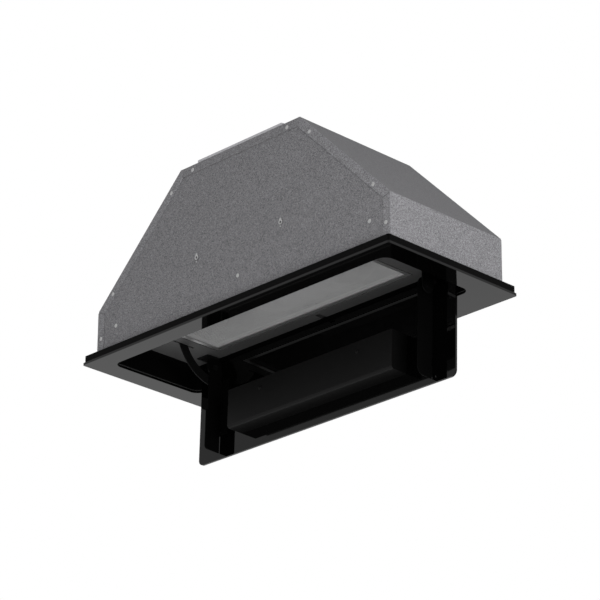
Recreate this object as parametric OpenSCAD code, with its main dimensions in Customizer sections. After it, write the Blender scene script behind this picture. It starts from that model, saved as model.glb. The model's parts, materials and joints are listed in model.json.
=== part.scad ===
// Built-in range hood with a glass frame and a drop-down suction flap, shown with the flap open.
// X runs along the hood, +Y is the hinge side of the flap and +Z is up. The origin is the centre of
// the four cabinet screws, on the upper face of the pan. Sealing strips on that face meet the cabinet.

/* [Glass frame] */
// Length of the glass frame
frame_w = 700; // [640:5:760]
// Depth of the glass frame
frame_d = 288; // [280:2:300]
// Thickness of the frame glass and of the flap glass
glass_t = 4; // [3:0.5:5]
// Radius of the frame's outer corners
frame_corner_r = 3; // [1:0.5:6]
// Width of the frame between its left and right edges and the opening
opening_side_margin = 38.5; // [34:0.5:42]
// Width of the frame on the side away from the hinge
opening_near_margin = 33; // [30:0.5:36]
// Width of the frame on the hinge side
opening_far_margin = 65.5; // [62:0.5:68]
// Radius of the opening's corners
opening_r = 17; // [10:1:20]
// Thickness of the foam tape between the glass and the pan
tape_t = 1.5; // [1:0.1:2]

/* [Pan] */
// Height of the folded pan above the foam tape
pan_h = 10.5; // [9:0.5:14]
// Distance from the glass edge to the pan's skirt
pan_inset = 2; // [1:0.5:4]
// Thickness of the pan's steel sheet
pan_t = 1.2; // [1:0.1:1.5]
// Distance from the pan's ends to the cabinet screws
screw_end_gap = 68; // [50:1:90]
// Radius of the threaded hole in a cabinet screw nut
cabinet_screw_r = 2; // [1.5:0.25:2.5]

/* [Casing] */
// Width of the pan outside the casing at each end
end_margin = 12; // [10:0.5:20]
// Width of the pan outside the casing along each long side
side_margin = 16.3; // [15:0.1:18]
// Height of the upright part of the end panels
knee_h = 79.4; // [70:0.2:90]
// Height of the casing above the pan
casing_h = 274.8; // [268:0.2:290]
// Length of the flat top
top_w = 279; // [260:1:300]
// Thickness of the galvanised sheet
sheet_t = 1; // [0.8:0.1:1.2]
// Width of the riveted laps
lap_w = 15.2; // [13:0.2:18]

/* [Filter recess] */
// Height of the recess ceiling above the pan's seat face
ceiling_z = 27.3; // [25:0.1:32]
// Distance from the opening's ends to the grease filter
filter_end_gap = 89.5; // [87.5:0.5:100]
// Distance from the opening's near edge to the filter
filter_near_margin = 29.2; // [28.2:0.1:35]
// Thickness of the grease filter
filter_t = 9; // [8:0.5:10]
// Distance from the opening's hinge side edge to the filter
filter_far_gap = 38.3; // [37:0.1:40]

/* [Flap] */
// Gap between the flap glass and the opening at each end
flap_end_gap = 21.5; // [16.5:0.5:31]
// Gap between the closed flap's free edge and the opening's near edge
flap_near_gap = 4.3; // [3.5:0.1:10]
// How far the flap glass reaches above its hinge
flap_rise = 15.4; // [12:0.2:16]
// Height of the hinge axis above the lower face of the frame glass
hinge_h = 20.6; // [18:0.2:22]
// Distance from the opening's hinge side edge to the hinge axis
hinge_back = 27.1; // [26:0.1:29]
// Angle by which the open flap stops short of upright
flap_lean = 1.4; // [0:0.1:3]
// Distance from the ends of the flap glass to the box
box_end_gap = 103.5; // [100:0.5:115]
// Depth of the box on the flap
box_d = 34; // [28:0.5:34]
// Height of the box on the flap
box_h = 67; // [60:1:70]
// Distance from the flap's free edge to the box
box_edge_gap = 30.7; // [24:0.1:33]
// Radius of the hinge pins
hinge_pin_r = 3; // [2.5:0.1:3.5]

/* [Flap drive] */
// Length of the crank, which is also the lever pin's distance below the hinge
crank_l = 26; // [22:1:28]
// Radius of the curved lever's centre line
lever_r = 82; // [80:1:86]
// Angle that the curved lever spans
lever_angle = 79; // [74:1:82]
// Width of the curved lever
lever_w = 17; // [14:0.5:18]

/* [Blower] */
// Gap between the impeller and the tongue of the scroll
tongue_gap = 8; // [6:0.5:12]
// Gap between the impeller's ends and the outside of the scroll's cheeks
impeller_end_gap = 8.5; // [7.5:0.5:16]
// Number of blades on the impeller
blade_count = 36; // [24:2:40]
// Width of the scroll housing
scroll_w = 165; // [160:1:172]
// How much the scroll's radius grows from its tongue to the outlet
scroll_growth = 38; // [34:1:40]
// Gap between the scroll and the casing's far panel
scroll_gap = 4.7; // [3.5:0.1:8]
// Height of the blower axis above the pan's seat face
blower_z = 154; // [150:1:158]
// Gap between the motor body and the blades
motor_side_gap = 18; // [14:1:24]

/* [Outlet] */
// Outer radius of the duct collar
collar_r = 74.5; // [70:0.5:78]
// Height of the duct collar
collar_h = 26; // [20:1:28]
// Distance from the collar's flange to the casing's far side
collar_margin = 0.2; // [0:0.1:4]
// Distance from the ends of the flat top to the outlet plate
outlet_end_gap = 41; // [34:0.5:48]

/* [Hidden] */

// Overrun that carries a cut past the faces it opens
over = 1;
// Running clearance of a pin in its hole
pin_play = 0.05;
// Clearance of a pivot that is left loose
loose_play = 0.35;
// Clearance of a piece that drops into a cut-out
fit_gap = 0.3;
round_fn = 64;
pin_fn = 32;

// Glass frame and opening
glass_z = -(pan_h + tape_t + glass_t);
opening_w = frame_w - 2 * opening_side_margin;
opening_near_y = -frame_d / 2 + opening_near_margin;
opening_far_y = frame_d / 2 - opening_far_margin;
opening_d = opening_far_y - opening_near_y;
opening_y = (opening_far_y + opening_near_y) / 2;
tape_w = 8;
tape_inset = 3;

// Pan
pan_w = frame_w - 2 * pan_inset;
pan_d = frame_d - 2 * pan_inset;
casing_w = pan_w - 2 * end_margin;
casing_d = pan_d - 2 * side_margin;
screw_spacing_x = pan_w - 2 * screw_end_gap;
pan_corner_r = 3;
pan_return_w = 12;
mitre_w = 1.2;
nut_r = 4;
nut_h = 8.2;
screw_spacing_y = (casing_d + pan_d) / 2;

// Self-adhesive sealing strips on the pan's margin
seal_t = 1.5;
seal_w = 9;
seal_inset = 5;
seal_end_w = 6;
seal_end_inset = 4;
seal_nut_gap = 4;

// Recess liner and ceiling
liner_t = 1;
liner_flange_w = 13;
liner_foot_w = 8;
ceiling_t = 1;
filter_w = opening_w - 2 * filter_end_gap;
filter_far_y = opening_far_y - filter_far_gap;
filter_near_y = opening_near_y + filter_near_margin;
filter_d = filter_far_y - filter_near_y;
filter_y = (filter_far_y + filter_near_y) / 2;
filter_gap = 2;
filter_near_gap = 3;
rim_h = 9.5;
rim_lip_w = 6;
filter_pin_r = 2;
filter_pin_back = 4;
filter_pin_l = 5;
filter_axis_y = filter_near_y + filter_pin_back;
filter_axis_z = ceiling_z + filter_t / 2;
filter_border = 7;
filter_wall = 1.2;
mesh_t = 1.6;
mesh_columns = 40;
mesh_rows = 7;
mesh_bar = 1.8;

// Magnet catch behind the filter's far edge
catch_x = 2;
catch_w = 12;
catch_l = 20;
catch_start = 9;
catch_recess = 3;
catch_h = 8;
catch_reach = 16;
catch_magnet_t = 4;
catch_stud_r = 1.8;

// Light in the near strip of the ceiling
light_inset = 72;
light_w = filter_w - 2 * light_inset;
light_d = 9;
light_h = 12;
light_wall = 1;
light_y = (opening_near_y + liner_flange_w + filter_near_y - filter_near_gap) / 2;

// Flap, in its own frame: origin on the hinge axis, glass upright behind it
flap_w = opening_w - 2 * flap_end_gap;
box_w = flap_w - 2 * box_end_gap;
hinge_y = opening_far_y - hinge_back;
hinge_z = glass_z + hinge_h;
flap_out = hinge_h;
flap_in = hinge_h - glass_t;
flap_low = -(hinge_y - opening_near_y - flap_near_gap);
flap_h = flap_rise - flap_low;
flap_corner_r = 10;
box_low = flap_low + box_edge_gap;
box_top = box_low + box_h;
box_near = flap_in - box_d;
box_t = 1.2;
box_edge_r = 5;
arm_inset = 50;
arm_x = flap_w / 2 - arm_inset;
arm_t = 1.5;
arm_top_r = 16.5;
arm_neck_w = 15;
arm_near = -16.5;
arm_step = 4;
arm_step_rise = 80.1;
arm_step_z = flap_low + arm_step_rise;
arm_flange_w = 18;
arm_flange_top = -20;
arm_flange_rise = 40.1;
arm_flange_low = flap_low + arm_flange_rise;
left_foot_rise = 9.9;
right_foot_rise = 6.9;
left_foot_z = flap_low + left_foot_rise;
right_foot_z = flap_low + right_foot_rise;
left_foot_r = 6;
right_foot_r = 13;
foot_hole_r = 2;
foot_hole_y = 8.3;
foot_hole_rise = 7;
lever_pin_r = 3;
lever_pin_head_r = 4;
lever_t = 1.5;
lever_gap = 1;
lever_x = arm_x + arm_t + lever_gap;
bracket_t = 1.5;
bracket_x = lever_x + lever_t + lever_gap;
bracket_d = 26;
bracket_near = -12.5;
bracket_flange_w = 27;
bracket_end_r = 12;
bracket_screw_shares = [0.3, 0.75];
pin_head_r = 5;
pin_head_t = 2;
pin_clip_r = 4;
pin_tail = 2;
screw_head_r = 3.5;
screw_head_t = 1.6;
screw_r = 2;
box_screw_inset = 75.9;
box_screw_x = box_w / 2 - box_screw_inset;
box_screw_drop = 17;
box_screw_l = 11.3;
rail_h = 26;
rail_t = 3;
rail_margin = 8;
boss_r = 5;
buffer_r = 5;
buffer_inset = 23;
buffer_y = opening_near_y + buffer_inset;

// Flap drive
lever_lead_angle = 4.5;
lever_pin_y = hinge_y - crank_l * sin(flap_lean);
lever_pin_z = hinge_z - crank_l * cos(flap_lean);
lever_centre_y = lever_pin_y + lever_r * sin(lever_lead_angle);
lever_centre_z = lever_pin_z + lever_r * cos(lever_lead_angle);
lever_end_angle = lever_lead_angle + lever_angle;
lever_eye_margin = 1;
lever_eye_r = lever_w / 2 + lever_eye_margin;
crank_pin_y = lever_centre_y - lever_r * sin(lever_end_angle);
crank_pin_z = lever_centre_z - lever_r * cos(lever_end_angle);
drive_y = crank_pin_y + crank_l * sin(flap_lean);
drive_z = crank_pin_z + crank_l * cos(flap_lean);
crank_t = 2;
crank_x = lever_x + lever_t + lever_gap;
crank_eye_r = 8;
drive_shaft_r = 4;
drive_hole_r = 6;
crank_gap = 2.5;
drive_bracket_x = crank_x + crank_t + crank_gap;
drive_bracket_t = 1.5;
motor_face_x = drive_bracket_x + drive_bracket_t;
drive_bracket_d = 60;
drive_bracket_rise = 26;
drive_foot_w = 36;
gearbox_w = 34;
gearbox_d = 52;
gearbox_h = 42;
drive_motor_r = 15;
drive_motor_l = 52;
drive_motor_cap_r = 5;
drive_motor_cap_h = 4;
slot_w = 4;
slot_near = drive_y - crank_l;
slot_far_gap = 12;
slot_far = drive_y + lever_w + slot_far_gap;

// Casing
slope_a = atan2(casing_h - knee_h, (casing_w - top_w) / 2);
lip_end_gap = 5;
top_flange_w = 12;
foot_flange_w = 11;
skin_y = casing_d / 2 - sheet_t;
knee_slit = 2;
rivet_r = 3.4;
rivet_crown_r = 2.4;
rivet_h = 1.2;
rivet_hole_r = 1.1;
rivet_inset = 9;
low_rivet_z = 30;
inner_rivet_z = 43.6;
inner_rivet_inset = 44.6;
inner_rivet_x = casing_w / 2 - inner_rivet_inset;
lip_rivet_inset = 29.2;
lip_rivet_x = top_w / 2 - lip_rivet_inset;
slope_rivet_low = 41.5;
slope_rivet_high = 39.5;
plate_hole_r = 2.1;
plate_x = 97;
plate_z = 105;
plate_r = 4;
plate_t = 1.2;
plate_peak = 7;
plate_tip_r = 1.3;
plate_rivet_drop = 7.5;
plate_rivet_r = 1.3;

// Blower
blower_y = 2;
tongue_a = 100;
impeller_l = scroll_w - 2 * impeller_end_gap;

// The scroll fills what the casing's depth and the height above the filter's catch leave it
scroll_low_gap = 1;
low_growth = scroll_growth * (270 - tongue_a) / (360 - tongue_a);
scroll_depth_room = skin_y - blower_y - scroll_gap;
scroll_low_room = blower_z - ceiling_z - ceiling_t - rim_h - catch_h - scroll_low_gap;
scroll_end_r = min(scroll_depth_room, scroll_low_room + scroll_growth - low_growth);
scroll_start_r = scroll_end_r - scroll_growth;
impeller_r = scroll_start_r - tongue_gap;
blade_depth = 14;
blade_in_r = impeller_r - blade_depth;
motor_r = blade_in_r - motor_side_gap;
collar_flange_w = 9;
collar_y = casing_d / 2 - collar_r - collar_flange_w - collar_margin;
scroll_t = 1;
scroll_steps = 52;
throat_margin = 2;
throat_near_y = collar_y - collar_r - throat_margin;
inlet_r = blade_in_r;
cheek_hole_gap = 6;
cheek_hole_r = inlet_r + cheek_hole_gap;
inlet_flare = 10;
inlet_t = 1.5;
inlet_rim_w = 4;
inlet_lip = 2.5;
hub_t = 3;
hub_r = 16;
hub_l = 16;
blade_t = 1;
blade_arc_r = 11;
ring_h = 4;
shaft_r = 5;
shaft_overhang = 4;
motor_l = 66;
motor_gap = 10;
motor_end_r = 14;
groove_count = 8;
groove_d = 5;
groove_w = 6.6;
groove_l = 46;
spider_t = 2;
spider_arm_w = 14;
spider_arms = 3;
spider_hub_r = 22;
spider_screw_at = 17;
spider_x = scroll_w / 2 + inlet_flare;
capacitor_r = 17;
capacitor_l = 32;
capacitor_gap = 6;

// Electrics
control_w = 150;
control_d = 38;
control_h = 52;
control_wall = 2;
control_lid_t = 2.5;
control_x = -170;
control_gap = 1;
gland_r = 9;
gland_h = 10;
gland_stem_r = 6;
gland_bore_r = 4;
gland_x_inset = 21.5;
gland_y_inset = 34.7;
gland_x = -(top_w / 2 - gland_x_inset);
gland_y = -(skin_y - gland_y_inset);

// Outlet
outlet_plate_w = top_w - 2 * outlet_end_gap;
outlet_plate_t = 4.2;
collar_t = 1.2;
damper_gap = 1;
damper_t = 1.2;
damper_pin_r = 2;
damper_knuckle_r = 3.4;
ledge_w = 3;
ledge_h = 1.5;
damper_rise = ledge_h + damper_pin_r + fit_gap;
damper_drop = damper_rise - ledge_h - fit_gap;

// A flat rounded rectangle about the origin
module rounded_rect(w, d, r) {
    square([w, d - 2 * r], center = true);
    square([w - 2 * r, d], center = true);
    for (sx = [-1, 1], sy = [-1, 1]) {
        translate([sx * (w / 2 - r), sy * (d / 2 - r)]) circle(r, $fn = round_fn);
    }
}

// A flat ring between two rounded rectangles, grown from the same centre
module ring_plate(w, d, r, margin, h) {
    linear_extrude(h) difference() {
        rounded_rect(w, d, r);
        rounded_rect(w - 2 * margin, d - 2 * margin, max(r - margin, fit_gap));
    }
}

// Unit normal to the left of the step from a to b
function left_normal(a, b) = [-(b.y - a.y), b.x - a.x] / norm(b - a);

// The point where path point i lands when the path moves t to its left, mitred at the folds
function mitred(path, i, t) =
    let (
        last = len(path) - 1,
        before = i == 0 ? left_normal(path[0], path[1]) : left_normal(path[i - 1], path[i]),
        after = i == last ? before : left_normal(path[i], path[i + 1]),
        middle = before + after
    )
    path[i] + middle * t * 2 / (middle * middle);

// Outline of a sheet of thickness t that lies to the left of a path
function sheet_outline(path, t) = concat(
    path,
    [for (i = [len(path) - 1:-1:0]) mitred(path, i, t)]
);

// A folded sheet: its path lies in a plane that is swept over the length l along X
module folded_along_x(path, t, l) {
    rotate([90, 0, 90]) linear_extrude(l, center = true) polygon(sheet_outline(path, t));
}

// A flat shape drawn in Y and Z, given a thickness that grows along +X from x
module plate_at_x(x, t) {
    translate([x, 0, 0]) rotate([90, 0, 90]) linear_extrude(t) children();
}

// A flat shape drawn in X and Z, given a thickness that grows along +Y from y
module plate_at_y(y, t) {
    translate([0, y + t, 0]) rotate([90, 0, 0]) linear_extrude(t) children();
}

// A round bar along X from x
module bar_x(x, r, l) {
    translate([x, 0, 0]) rotate([0, 90, 0]) cylinder(h = l, r = r, $fn = pin_fn);
}

// Puts a piece of the flap at its open rest position
module flap_pose() {
    translate([0, hinge_y, hinge_z]) rotate([-flap_lean, 0, 0]) children();
}

module glass_frame() color([0.03, 0.03, 0.035]) {
    translate([0, 0, glass_z]) linear_extrude(glass_t) difference() {
        rounded_rect(frame_w, frame_d, frame_corner_r);
        translate([0, opening_y]) rounded_rect(opening_w, opening_d, opening_r);
    }
}

module foam_tape() color([0.05, 0.05, 0.05]) {
    translate([0, 0, glass_z + glass_t]) {
        ring_plate(frame_w - 2 * tape_inset, frame_d - 2 * tape_inset, frame_corner_r, tape_w, tape_t);
        translate([0, opening_y]) linear_extrude(tape_t) difference() {
            rounded_rect(opening_w + 2 * tape_w, opening_d + 2 * tape_w, opening_r + tape_w);
            rounded_rect(opening_w, opening_d, opening_r);
        }
    }
}

// Positions of the four cabinet screws
module at_cabinet_screws() {
    for (sx = [-1, 1], sy = [-1, 1]) {
        translate([sx * screw_spacing_x / 2, sy * screw_spacing_y / 2, 0]) children();
    }
}

module frame_pan() color([0.04, 0.04, 0.045]) difference() {
    union() {
        translate([0, 0, -pan_t]) linear_extrude(pan_t) rounded_rect(pan_w, pan_d, pan_corner_r);
        translate([0, 0, -pan_h]) ring_plate(pan_w, pan_d, pan_corner_r, pan_t, pan_h);
        translate([0, 0, -pan_h]) ring_plate(pan_w, pan_d, pan_corner_r, pan_return_w, pan_t);
    }
    translate([0, opening_y, -pan_t - over]) linear_extrude(pan_t + 2 * over) {
        rounded_rect(opening_w + 2 * (liner_t + fit_gap), opening_d + 2 * (liner_t + fit_gap),
            opening_r + liner_t + fit_gap);
    }
    at_cabinet_screws() translate([0, 0, -pan_t - over]) {
        cylinder(h = pan_t + 2 * over, r = nut_r, $fn = pin_fn);
    }
    for (sx = [-1, 1], sy = [-1, 1]) {
        translate([sx * pan_w / 2, sy * pan_d / 2, -pan_h / 2 - pan_t]) {
            rotate(sx * sy * 45) cube([mitre_w, 4 * pan_corner_r, pan_h], center = true);
        }
    }
}

module cabinet_nuts() color([0.7, 0.7, 0.72]) {
    at_cabinet_screws() translate([0, 0, -nut_h]) difference() {
        cylinder(h = nut_h, r = nut_r, $fn = pin_fn);
        translate([0, 0, -over]) cylinder(h = nut_h + 2 * over, r = cabinet_screw_r, $fn = pin_fn);
    }
}

// Strips that seal the pan against the cabinet: two along the hood between the nuts and one at each end
module sealing_strips() color([0.08, 0.08, 0.08]) {
    long_l = screw_spacing_x - 2 * (nut_r + seal_nut_gap);
    end_l = pan_d - 2 * seal_inset;
    for (side = [-1, 1]) {
        translate([-long_l / 2, side * (pan_d / 2 - seal_inset - seal_w / 2) - seal_w / 2, 0]) {
            cube([long_l, seal_w, seal_t]);
        }
        translate([side * (pan_w / 2 - seal_end_inset - seal_end_w / 2) - seal_end_w / 2, -end_l / 2, 0]) {
            cube([seal_end_w, end_l, seal_t]);
        }
    }
}

module recess_liner() color([0.05, 0.05, 0.055]) translate([0, opening_y, 0]) {
    linear_z = -pan_h;
    difference() {
        union() {
            translate([0, 0, linear_z]) linear_extrude(ceiling_z - linear_z) {
                rounded_rect(opening_w + 2 * liner_t, opening_d + 2 * liner_t, opening_r + liner_t);
            }
            translate([0, 0, linear_z]) linear_extrude(liner_t) {
                rounded_rect(opening_w + 2 * liner_foot_w, opening_d + 2 * liner_foot_w,
                    opening_r + liner_foot_w);
            }
        }
        translate([0, 0, linear_z - over]) linear_extrude(ceiling_z - liner_t - linear_z + over) {
            rounded_rect(opening_w, opening_d, opening_r);
        }
        translate([0, 0, ceiling_z - liner_t - over]) linear_extrude(liner_t + 2 * over) {
            rounded_rect(opening_w - 2 * liner_flange_w, opening_d - 2 * liner_flange_w,
                opening_r - liner_flange_w);
        }
    }
}

module ceiling_plate() color([0.3, 0.3, 0.31]) difference() {
    union() {
        translate([0, opening_y, ceiling_z]) linear_extrude(ceiling_t) {
            rounded_rect(opening_w, opening_d, opening_r);
        }
        // The rim that stands round the filter's cut-out, with a lip over the filter's far edge
        for (sx = [-1, 1]) {
            rim_x = sx * (filter_w / 2 + filter_gap) - (sx < 0 ? ceiling_t : 0);
            translate([rim_x, filter_near_y - filter_near_gap, ceiling_z]) {
                cube([ceiling_t, filter_d + filter_near_gap + filter_gap, rim_h + ceiling_t]);
            }
        }
        translate([-filter_w / 2 - filter_gap - ceiling_t, filter_far_y + filter_gap, ceiling_z]) {
            cube([filter_w + 2 * (filter_gap + ceiling_t), ceiling_t, rim_h + ceiling_t]);
        }
        translate([-filter_w / 2 - filter_gap, filter_far_y + filter_gap - rim_lip_w, ceiling_z + rim_h]) {
            cube([filter_w + 2 * filter_gap, rim_lip_w, ceiling_t]);
        }
    }
    translate([-filter_w / 2 - filter_gap, filter_near_y - filter_near_gap, ceiling_z - over]) {
        cube([filter_w + 2 * filter_gap, filter_d + filter_near_gap + filter_gap, ceiling_t + over]);
    }
    // Holes for the filter's pivot pins
    translate([0, filter_axis_y, filter_axis_z]) {
        bar_x(-filter_w / 2 - 2 * filter_pin_l, filter_pin_r + pin_play, filter_w + 4 * filter_pin_l);
    }
    // Window under the catch
    translate([catch_x - catch_w / 2, filter_far_y + catch_start, ceiling_z - over]) {
        cube([catch_w, catch_l, ceiling_t + 2 * over]);
    }
    // Slot for the curved lever
    translate([-lever_x - lever_t / 2 - slot_w / 2, slot_near, ceiling_z - over]) {
        cube([slot_w, slot_far - slot_near, ceiling_t + 2 * over]);
    }
    // Window for the light
    translate([-light_w / 2 - fit_gap, light_y - light_d / 2 - fit_gap, ceiling_z - over]) {
        cube([light_w + 2 * fit_gap, light_d + 2 * fit_gap, ceiling_t + 2 * over]);
    }
}

// The face of the casing in X and Z, drawn back from its folded edges by inset
module casing_face(inset) {
    cap_in = inset * tan(slope_a / 2);
    polygon([
        [-casing_w / 2 + inset, 0], [casing_w / 2 - inset, 0],
        [casing_w / 2 - inset, knee_at(inset)], [top_w / 2 - cap_in, casing_h - inset],
        [-top_w / 2 + cap_in, casing_h - inset], [-casing_w / 2 + inset, knee_at(inset)]
    ]);
}

// One long face panel with its foot flange, notched clear of the end panels' feet; side is -1 for the
// near one and 1 for the far one
module face_panel(side) {
    notch_w = sheet_t + fit_gap + foot_flange_w;
    difference() {
        plate_at_y(side * skin_y - (side > 0 ? sheet_t : 0), sheet_t) casing_face(sheet_t + fit_gap);
        for (sx = [-1, 1]) {
            translate([sx * plate_x, side * skin_y, plate_z]) rotate([90, 0, 0]) {
                cylinder(h = 4 * sheet_t, r = plate_hole_r, center = true, $fn = pin_fn);
            }
            translate([sx * casing_w / 2, side * skin_y, 0]) {
                cube([2 * notch_w, 4 * sheet_t, 2 * (sheet_t + fit_gap)], center = true);
            }
        }
    }
    foot_w = casing_w - 2 * notch_w;
    translate([-foot_w / 2, side > 0 ? skin_y - foot_flange_w : -skin_y, 0]) {
        cube([foot_w, foot_flange_w, sheet_t]);
    }
}

module near_panel() color([0.42, 0.42, 0.43]) face_panel(-1);

module far_panel() color([0.42, 0.42, 0.43]) face_panel(1);

// Height of the knee on a line that runs inside the casing's outline by inset
function knee_at(inset) = knee_h - inset * tan((90 - slope_a) / 2);

// The lap of an end panel on one long face, slit at the knee where the sheet folds
module end_lap() {
    lap_knee = knee_at(lap_w);
    lap_top = casing_h + over;
    difference() {
        casing_face(0);
        polygon([
            [-casing_w, -over], [casing_w / 2 - lap_w, -over], [casing_w / 2 - lap_w, lap_knee],
            [casing_w / 2 - lap_w - (lap_top - lap_knee) / tan(slope_a), lap_top], [-casing_w, lap_top]
        ]);
        translate([-casing_w, -over]) square([casing_w + top_w / 2 - lip_end_gap, casing_h + 2 * over]);
        translate([casing_w / 2, knee_h]) rotate((90 - slope_a) / 2) {
            square([3 * lap_w, knee_slit], center = true);
        }
    }
}

module end_panel() {
    path = [
        [casing_w / 2 - sheet_t - foot_flange_w, 0], [casing_w / 2, 0],
        [casing_w / 2, knee_h], [top_w / 2 + sheet_t / tan(slope_a), casing_h - sheet_t],
        [top_w / 2 - top_flange_w, casing_h - sheet_t]
    ];
    rotate([90, 0, 0]) linear_extrude(2 * skin_y, center = true) polygon(sheet_outline(path, sheet_t));
    plate_at_y(-skin_y - sheet_t, sheet_t) end_lap();
    plate_at_y(skin_y, sheet_t) end_lap();
}

module right_end_panel() color([0.52, 0.52, 0.54]) end_panel();

module left_end_panel() color([0.52, 0.52, 0.54]) mirror([1, 0, 0]) end_panel();

module top_plate() color([0.44, 0.44, 0.45]) difference() {
    lip_w = top_w - 2 * lip_end_gap;
    union() {
        translate([-top_w / 2, -skin_y, casing_h - sheet_t]) cube([top_w, 2 * skin_y, sheet_t]);
        for (side = [-1, 1]) {
            translate([-lip_w / 2, side > 0 ? skin_y : -skin_y - sheet_t, casing_h - lap_w]) {
                cube([lip_w, sheet_t, lap_w]);
            }
        }
    }
    translate([0, collar_y, casing_h - 2 * sheet_t]) {
        cylinder(h = 4 * sheet_t, r = collar_r - collar_t, $fn = round_fn);
    }
    translate([gland_x, gland_y, casing_h - 2 * sheet_t]) {
        cylinder(h = 4 * sheet_t, r = gland_stem_r + fit_gap, $fn = pin_fn);
    }
}

// A blind rivet that points along -Y, with the dimple that its mandrel leaves
module rivet() rotate([90, 0, 0]) rotate_extrude($fn = pin_fn) {
    difference() {
        union() {
            square([rivet_crown_r, rivet_h]);
            square([rivet_r, rivet_h / 2]);
        }
        translate([0, rivet_h / 2]) square([rivet_hole_r, rivet_h]);
    }
}

// Places of the rivets on a long face: x, z and how far they stand in front of the skin
module at_rivets() {
    lap_rivets = [
        [lip_rivet_x, casing_h - rivet_inset],
        [casing_w / 2 - rivet_inset, low_rivet_z],
        [casing_w / 2 - slope_rivet_low * cos(slope_a) - rivet_inset * sin(slope_a),
            knee_h + slope_rivet_low * sin(slope_a) - rivet_inset * cos(slope_a)],
        [top_w / 2 + slope_rivet_high * cos(slope_a) - rivet_inset * sin(slope_a),
            casing_h - slope_rivet_high * sin(slope_a) - rivet_inset * cos(slope_a)]
    ];
    for (sx = [-1, 1]) {
        for (p = lap_rivets) translate([sx * p.x, -skin_y - sheet_t, p.y]) children();
        translate([sx * inner_rivet_x, -skin_y, inner_rivet_z]) children();
    }
    translate([0, -skin_y, inner_rivet_z]) children();
}

module near_rivets() color([0.75, 0.75, 0.76]) at_rivets() rivet();

module far_rivets() color([0.75, 0.75, 0.76]) mirror([0, 1, 0]) at_rivets() rivet();

// The two keyhole-shaped hanging plates of each long face, each with a small rivet below it
module hanging_plates() color([0.78, 0.78, 0.79]) {
    for (side = [-1, 1], sx = [-1, 1]) {
        translate([sx * plate_x, side * skin_y, plate_z]) rotate([90, 0, side > 0 ? 180 : 0]) difference() {
            linear_extrude(plate_t) union() {
                circle(plate_r, $fn = pin_fn);
                polygon([
                    [-plate_r, 0], [plate_r, 0], [plate_tip_r, plate_peak], [-plate_tip_r, plate_peak]
                ]);
                translate([0, -plate_rivet_drop]) circle(plate_rivet_r, $fn = pin_fn);
            }
            translate([0, 0, -over]) cylinder(h = plate_t + 2 * over, r = plate_hole_r, $fn = pin_fn);
        }
    }
}

module outlet_plate() color([0.6, 0.6, 0.61]) translate([0, 0, casing_h]) difference() {
    union() {
        translate([-outlet_plate_w / 2, -casing_d / 2, 0]) {
            cube([outlet_plate_w, casing_d / 2 + collar_y + collar_r + collar_flange_w, outlet_plate_t]);
        }
        translate([0, collar_y, 0]) {
            cylinder(h = outlet_plate_t + ledge_h, r = collar_r - collar_t - fit_gap, $fn = round_fn);
        }
    }
    translate([0, collar_y, -over]) {
        cylinder(h = outlet_plate_t + ledge_h + 2 * over, r = collar_r - collar_t - ledge_w,
            $fn = round_fn);
    }
}

module duct_collar() color([0.62, 0.62, 0.63]) {
    translate([0, collar_y, casing_h + outlet_plate_t]) rotate_extrude($fn = round_fn) {
        translate([collar_r - collar_t, 0]) square([collar_t, collar_h]);
        translate([collar_r - collar_t, 0]) square([collar_flange_w - fit_gap, collar_t]);
    }
}

damper_z = casing_h + outlet_plate_t + damper_rise;

module damper_pin() color([0.7, 0.7, 0.7]) {
    translate([0, collar_y, damper_z]) {
        bar_x(-collar_r + collar_t, damper_pin_r, 2 * (collar_r - collar_t));
    }
}

// Half of the damper; side is -1 for the half nearer the front and 1 for the other
module damper(side) {
    leaf_r = collar_r - collar_t - damper_gap;
    leaf_start = damper_knuckle_r + fit_gap;
    pitch = collar_r / 3;
    translate([0, collar_y, damper_z]) difference() {
        union() {
            intersection() {
                translate([0, 0, -damper_drop]) cylinder(h = damper_t, r = leaf_r, $fn = round_fn);
                translate([-leaf_r, side > 0 ? leaf_start : -leaf_r - leaf_start, -damper_drop - over]) {
                    cube([2 * leaf_r, leaf_r, damper_t + 2 * over]);
                }
            }
            for (x = side > 0 ? [-2 * pitch, 0] : [-pitch, pitch]) {
                bar_x(x, damper_knuckle_r, pitch - fit_gap);
                translate([x, side > 0 ? 0 : -leaf_start - over, -damper_drop]) {
                    cube([pitch - fit_gap, leaf_start + over, damper_t]);
                }
            }
        }
        bar_x(-collar_r, damper_pin_r + pin_play, 2 * collar_r);
    }
}

module near_damper() color([0.15, 0.15, 0.15]) damper(-1);

module far_damper() color([0.15, 0.15, 0.15]) damper(1);

// Outline of the scroll in Y and Z: down the tongue wall, round the growing spiral and up
scroll_path = concat(
    [[throat_near_y, casing_h - sheet_t]],
    [for (i = [0:scroll_steps]) let (
        a = tongue_a + (360 - tongue_a) * i / scroll_steps,
        r = scroll_start_r + (scroll_end_r - scroll_start_r) * i / scroll_steps
    ) [blower_y + r * cos(a), blower_z + r * sin(a)]],
    [[blower_y + scroll_end_r, casing_h - sheet_t]]
);

// The band is cut off level under the top plate
module scroll_band() color([0.66, 0.66, 0.67]) difference() {
    folded_along_x(scroll_path, scroll_t, scroll_w - 2 * scroll_t);
    translate([-scroll_w / 2, -casing_d / 2, casing_h - sheet_t]) cube([scroll_w, casing_d, 4 * scroll_t]);
}

// A flat side of the scroll, with its round inlet
module scroll_cheek() {
    difference() {
        plate_at_x(scroll_w / 2 - scroll_t, scroll_t) polygon(scroll_path);
        translate([0, blower_y, blower_z]) {
            rotate([0, 90, 0]) cylinder(h = scroll_w, r = cheek_hole_r, $fn = round_fn);
        }
    }
}

module right_scroll_cheek() color([0.64, 0.64, 0.65]) scroll_cheek();

module left_scroll_cheek() color([0.64, 0.64, 0.65]) mirror([1, 0, 0]) scroll_cheek();

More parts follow.
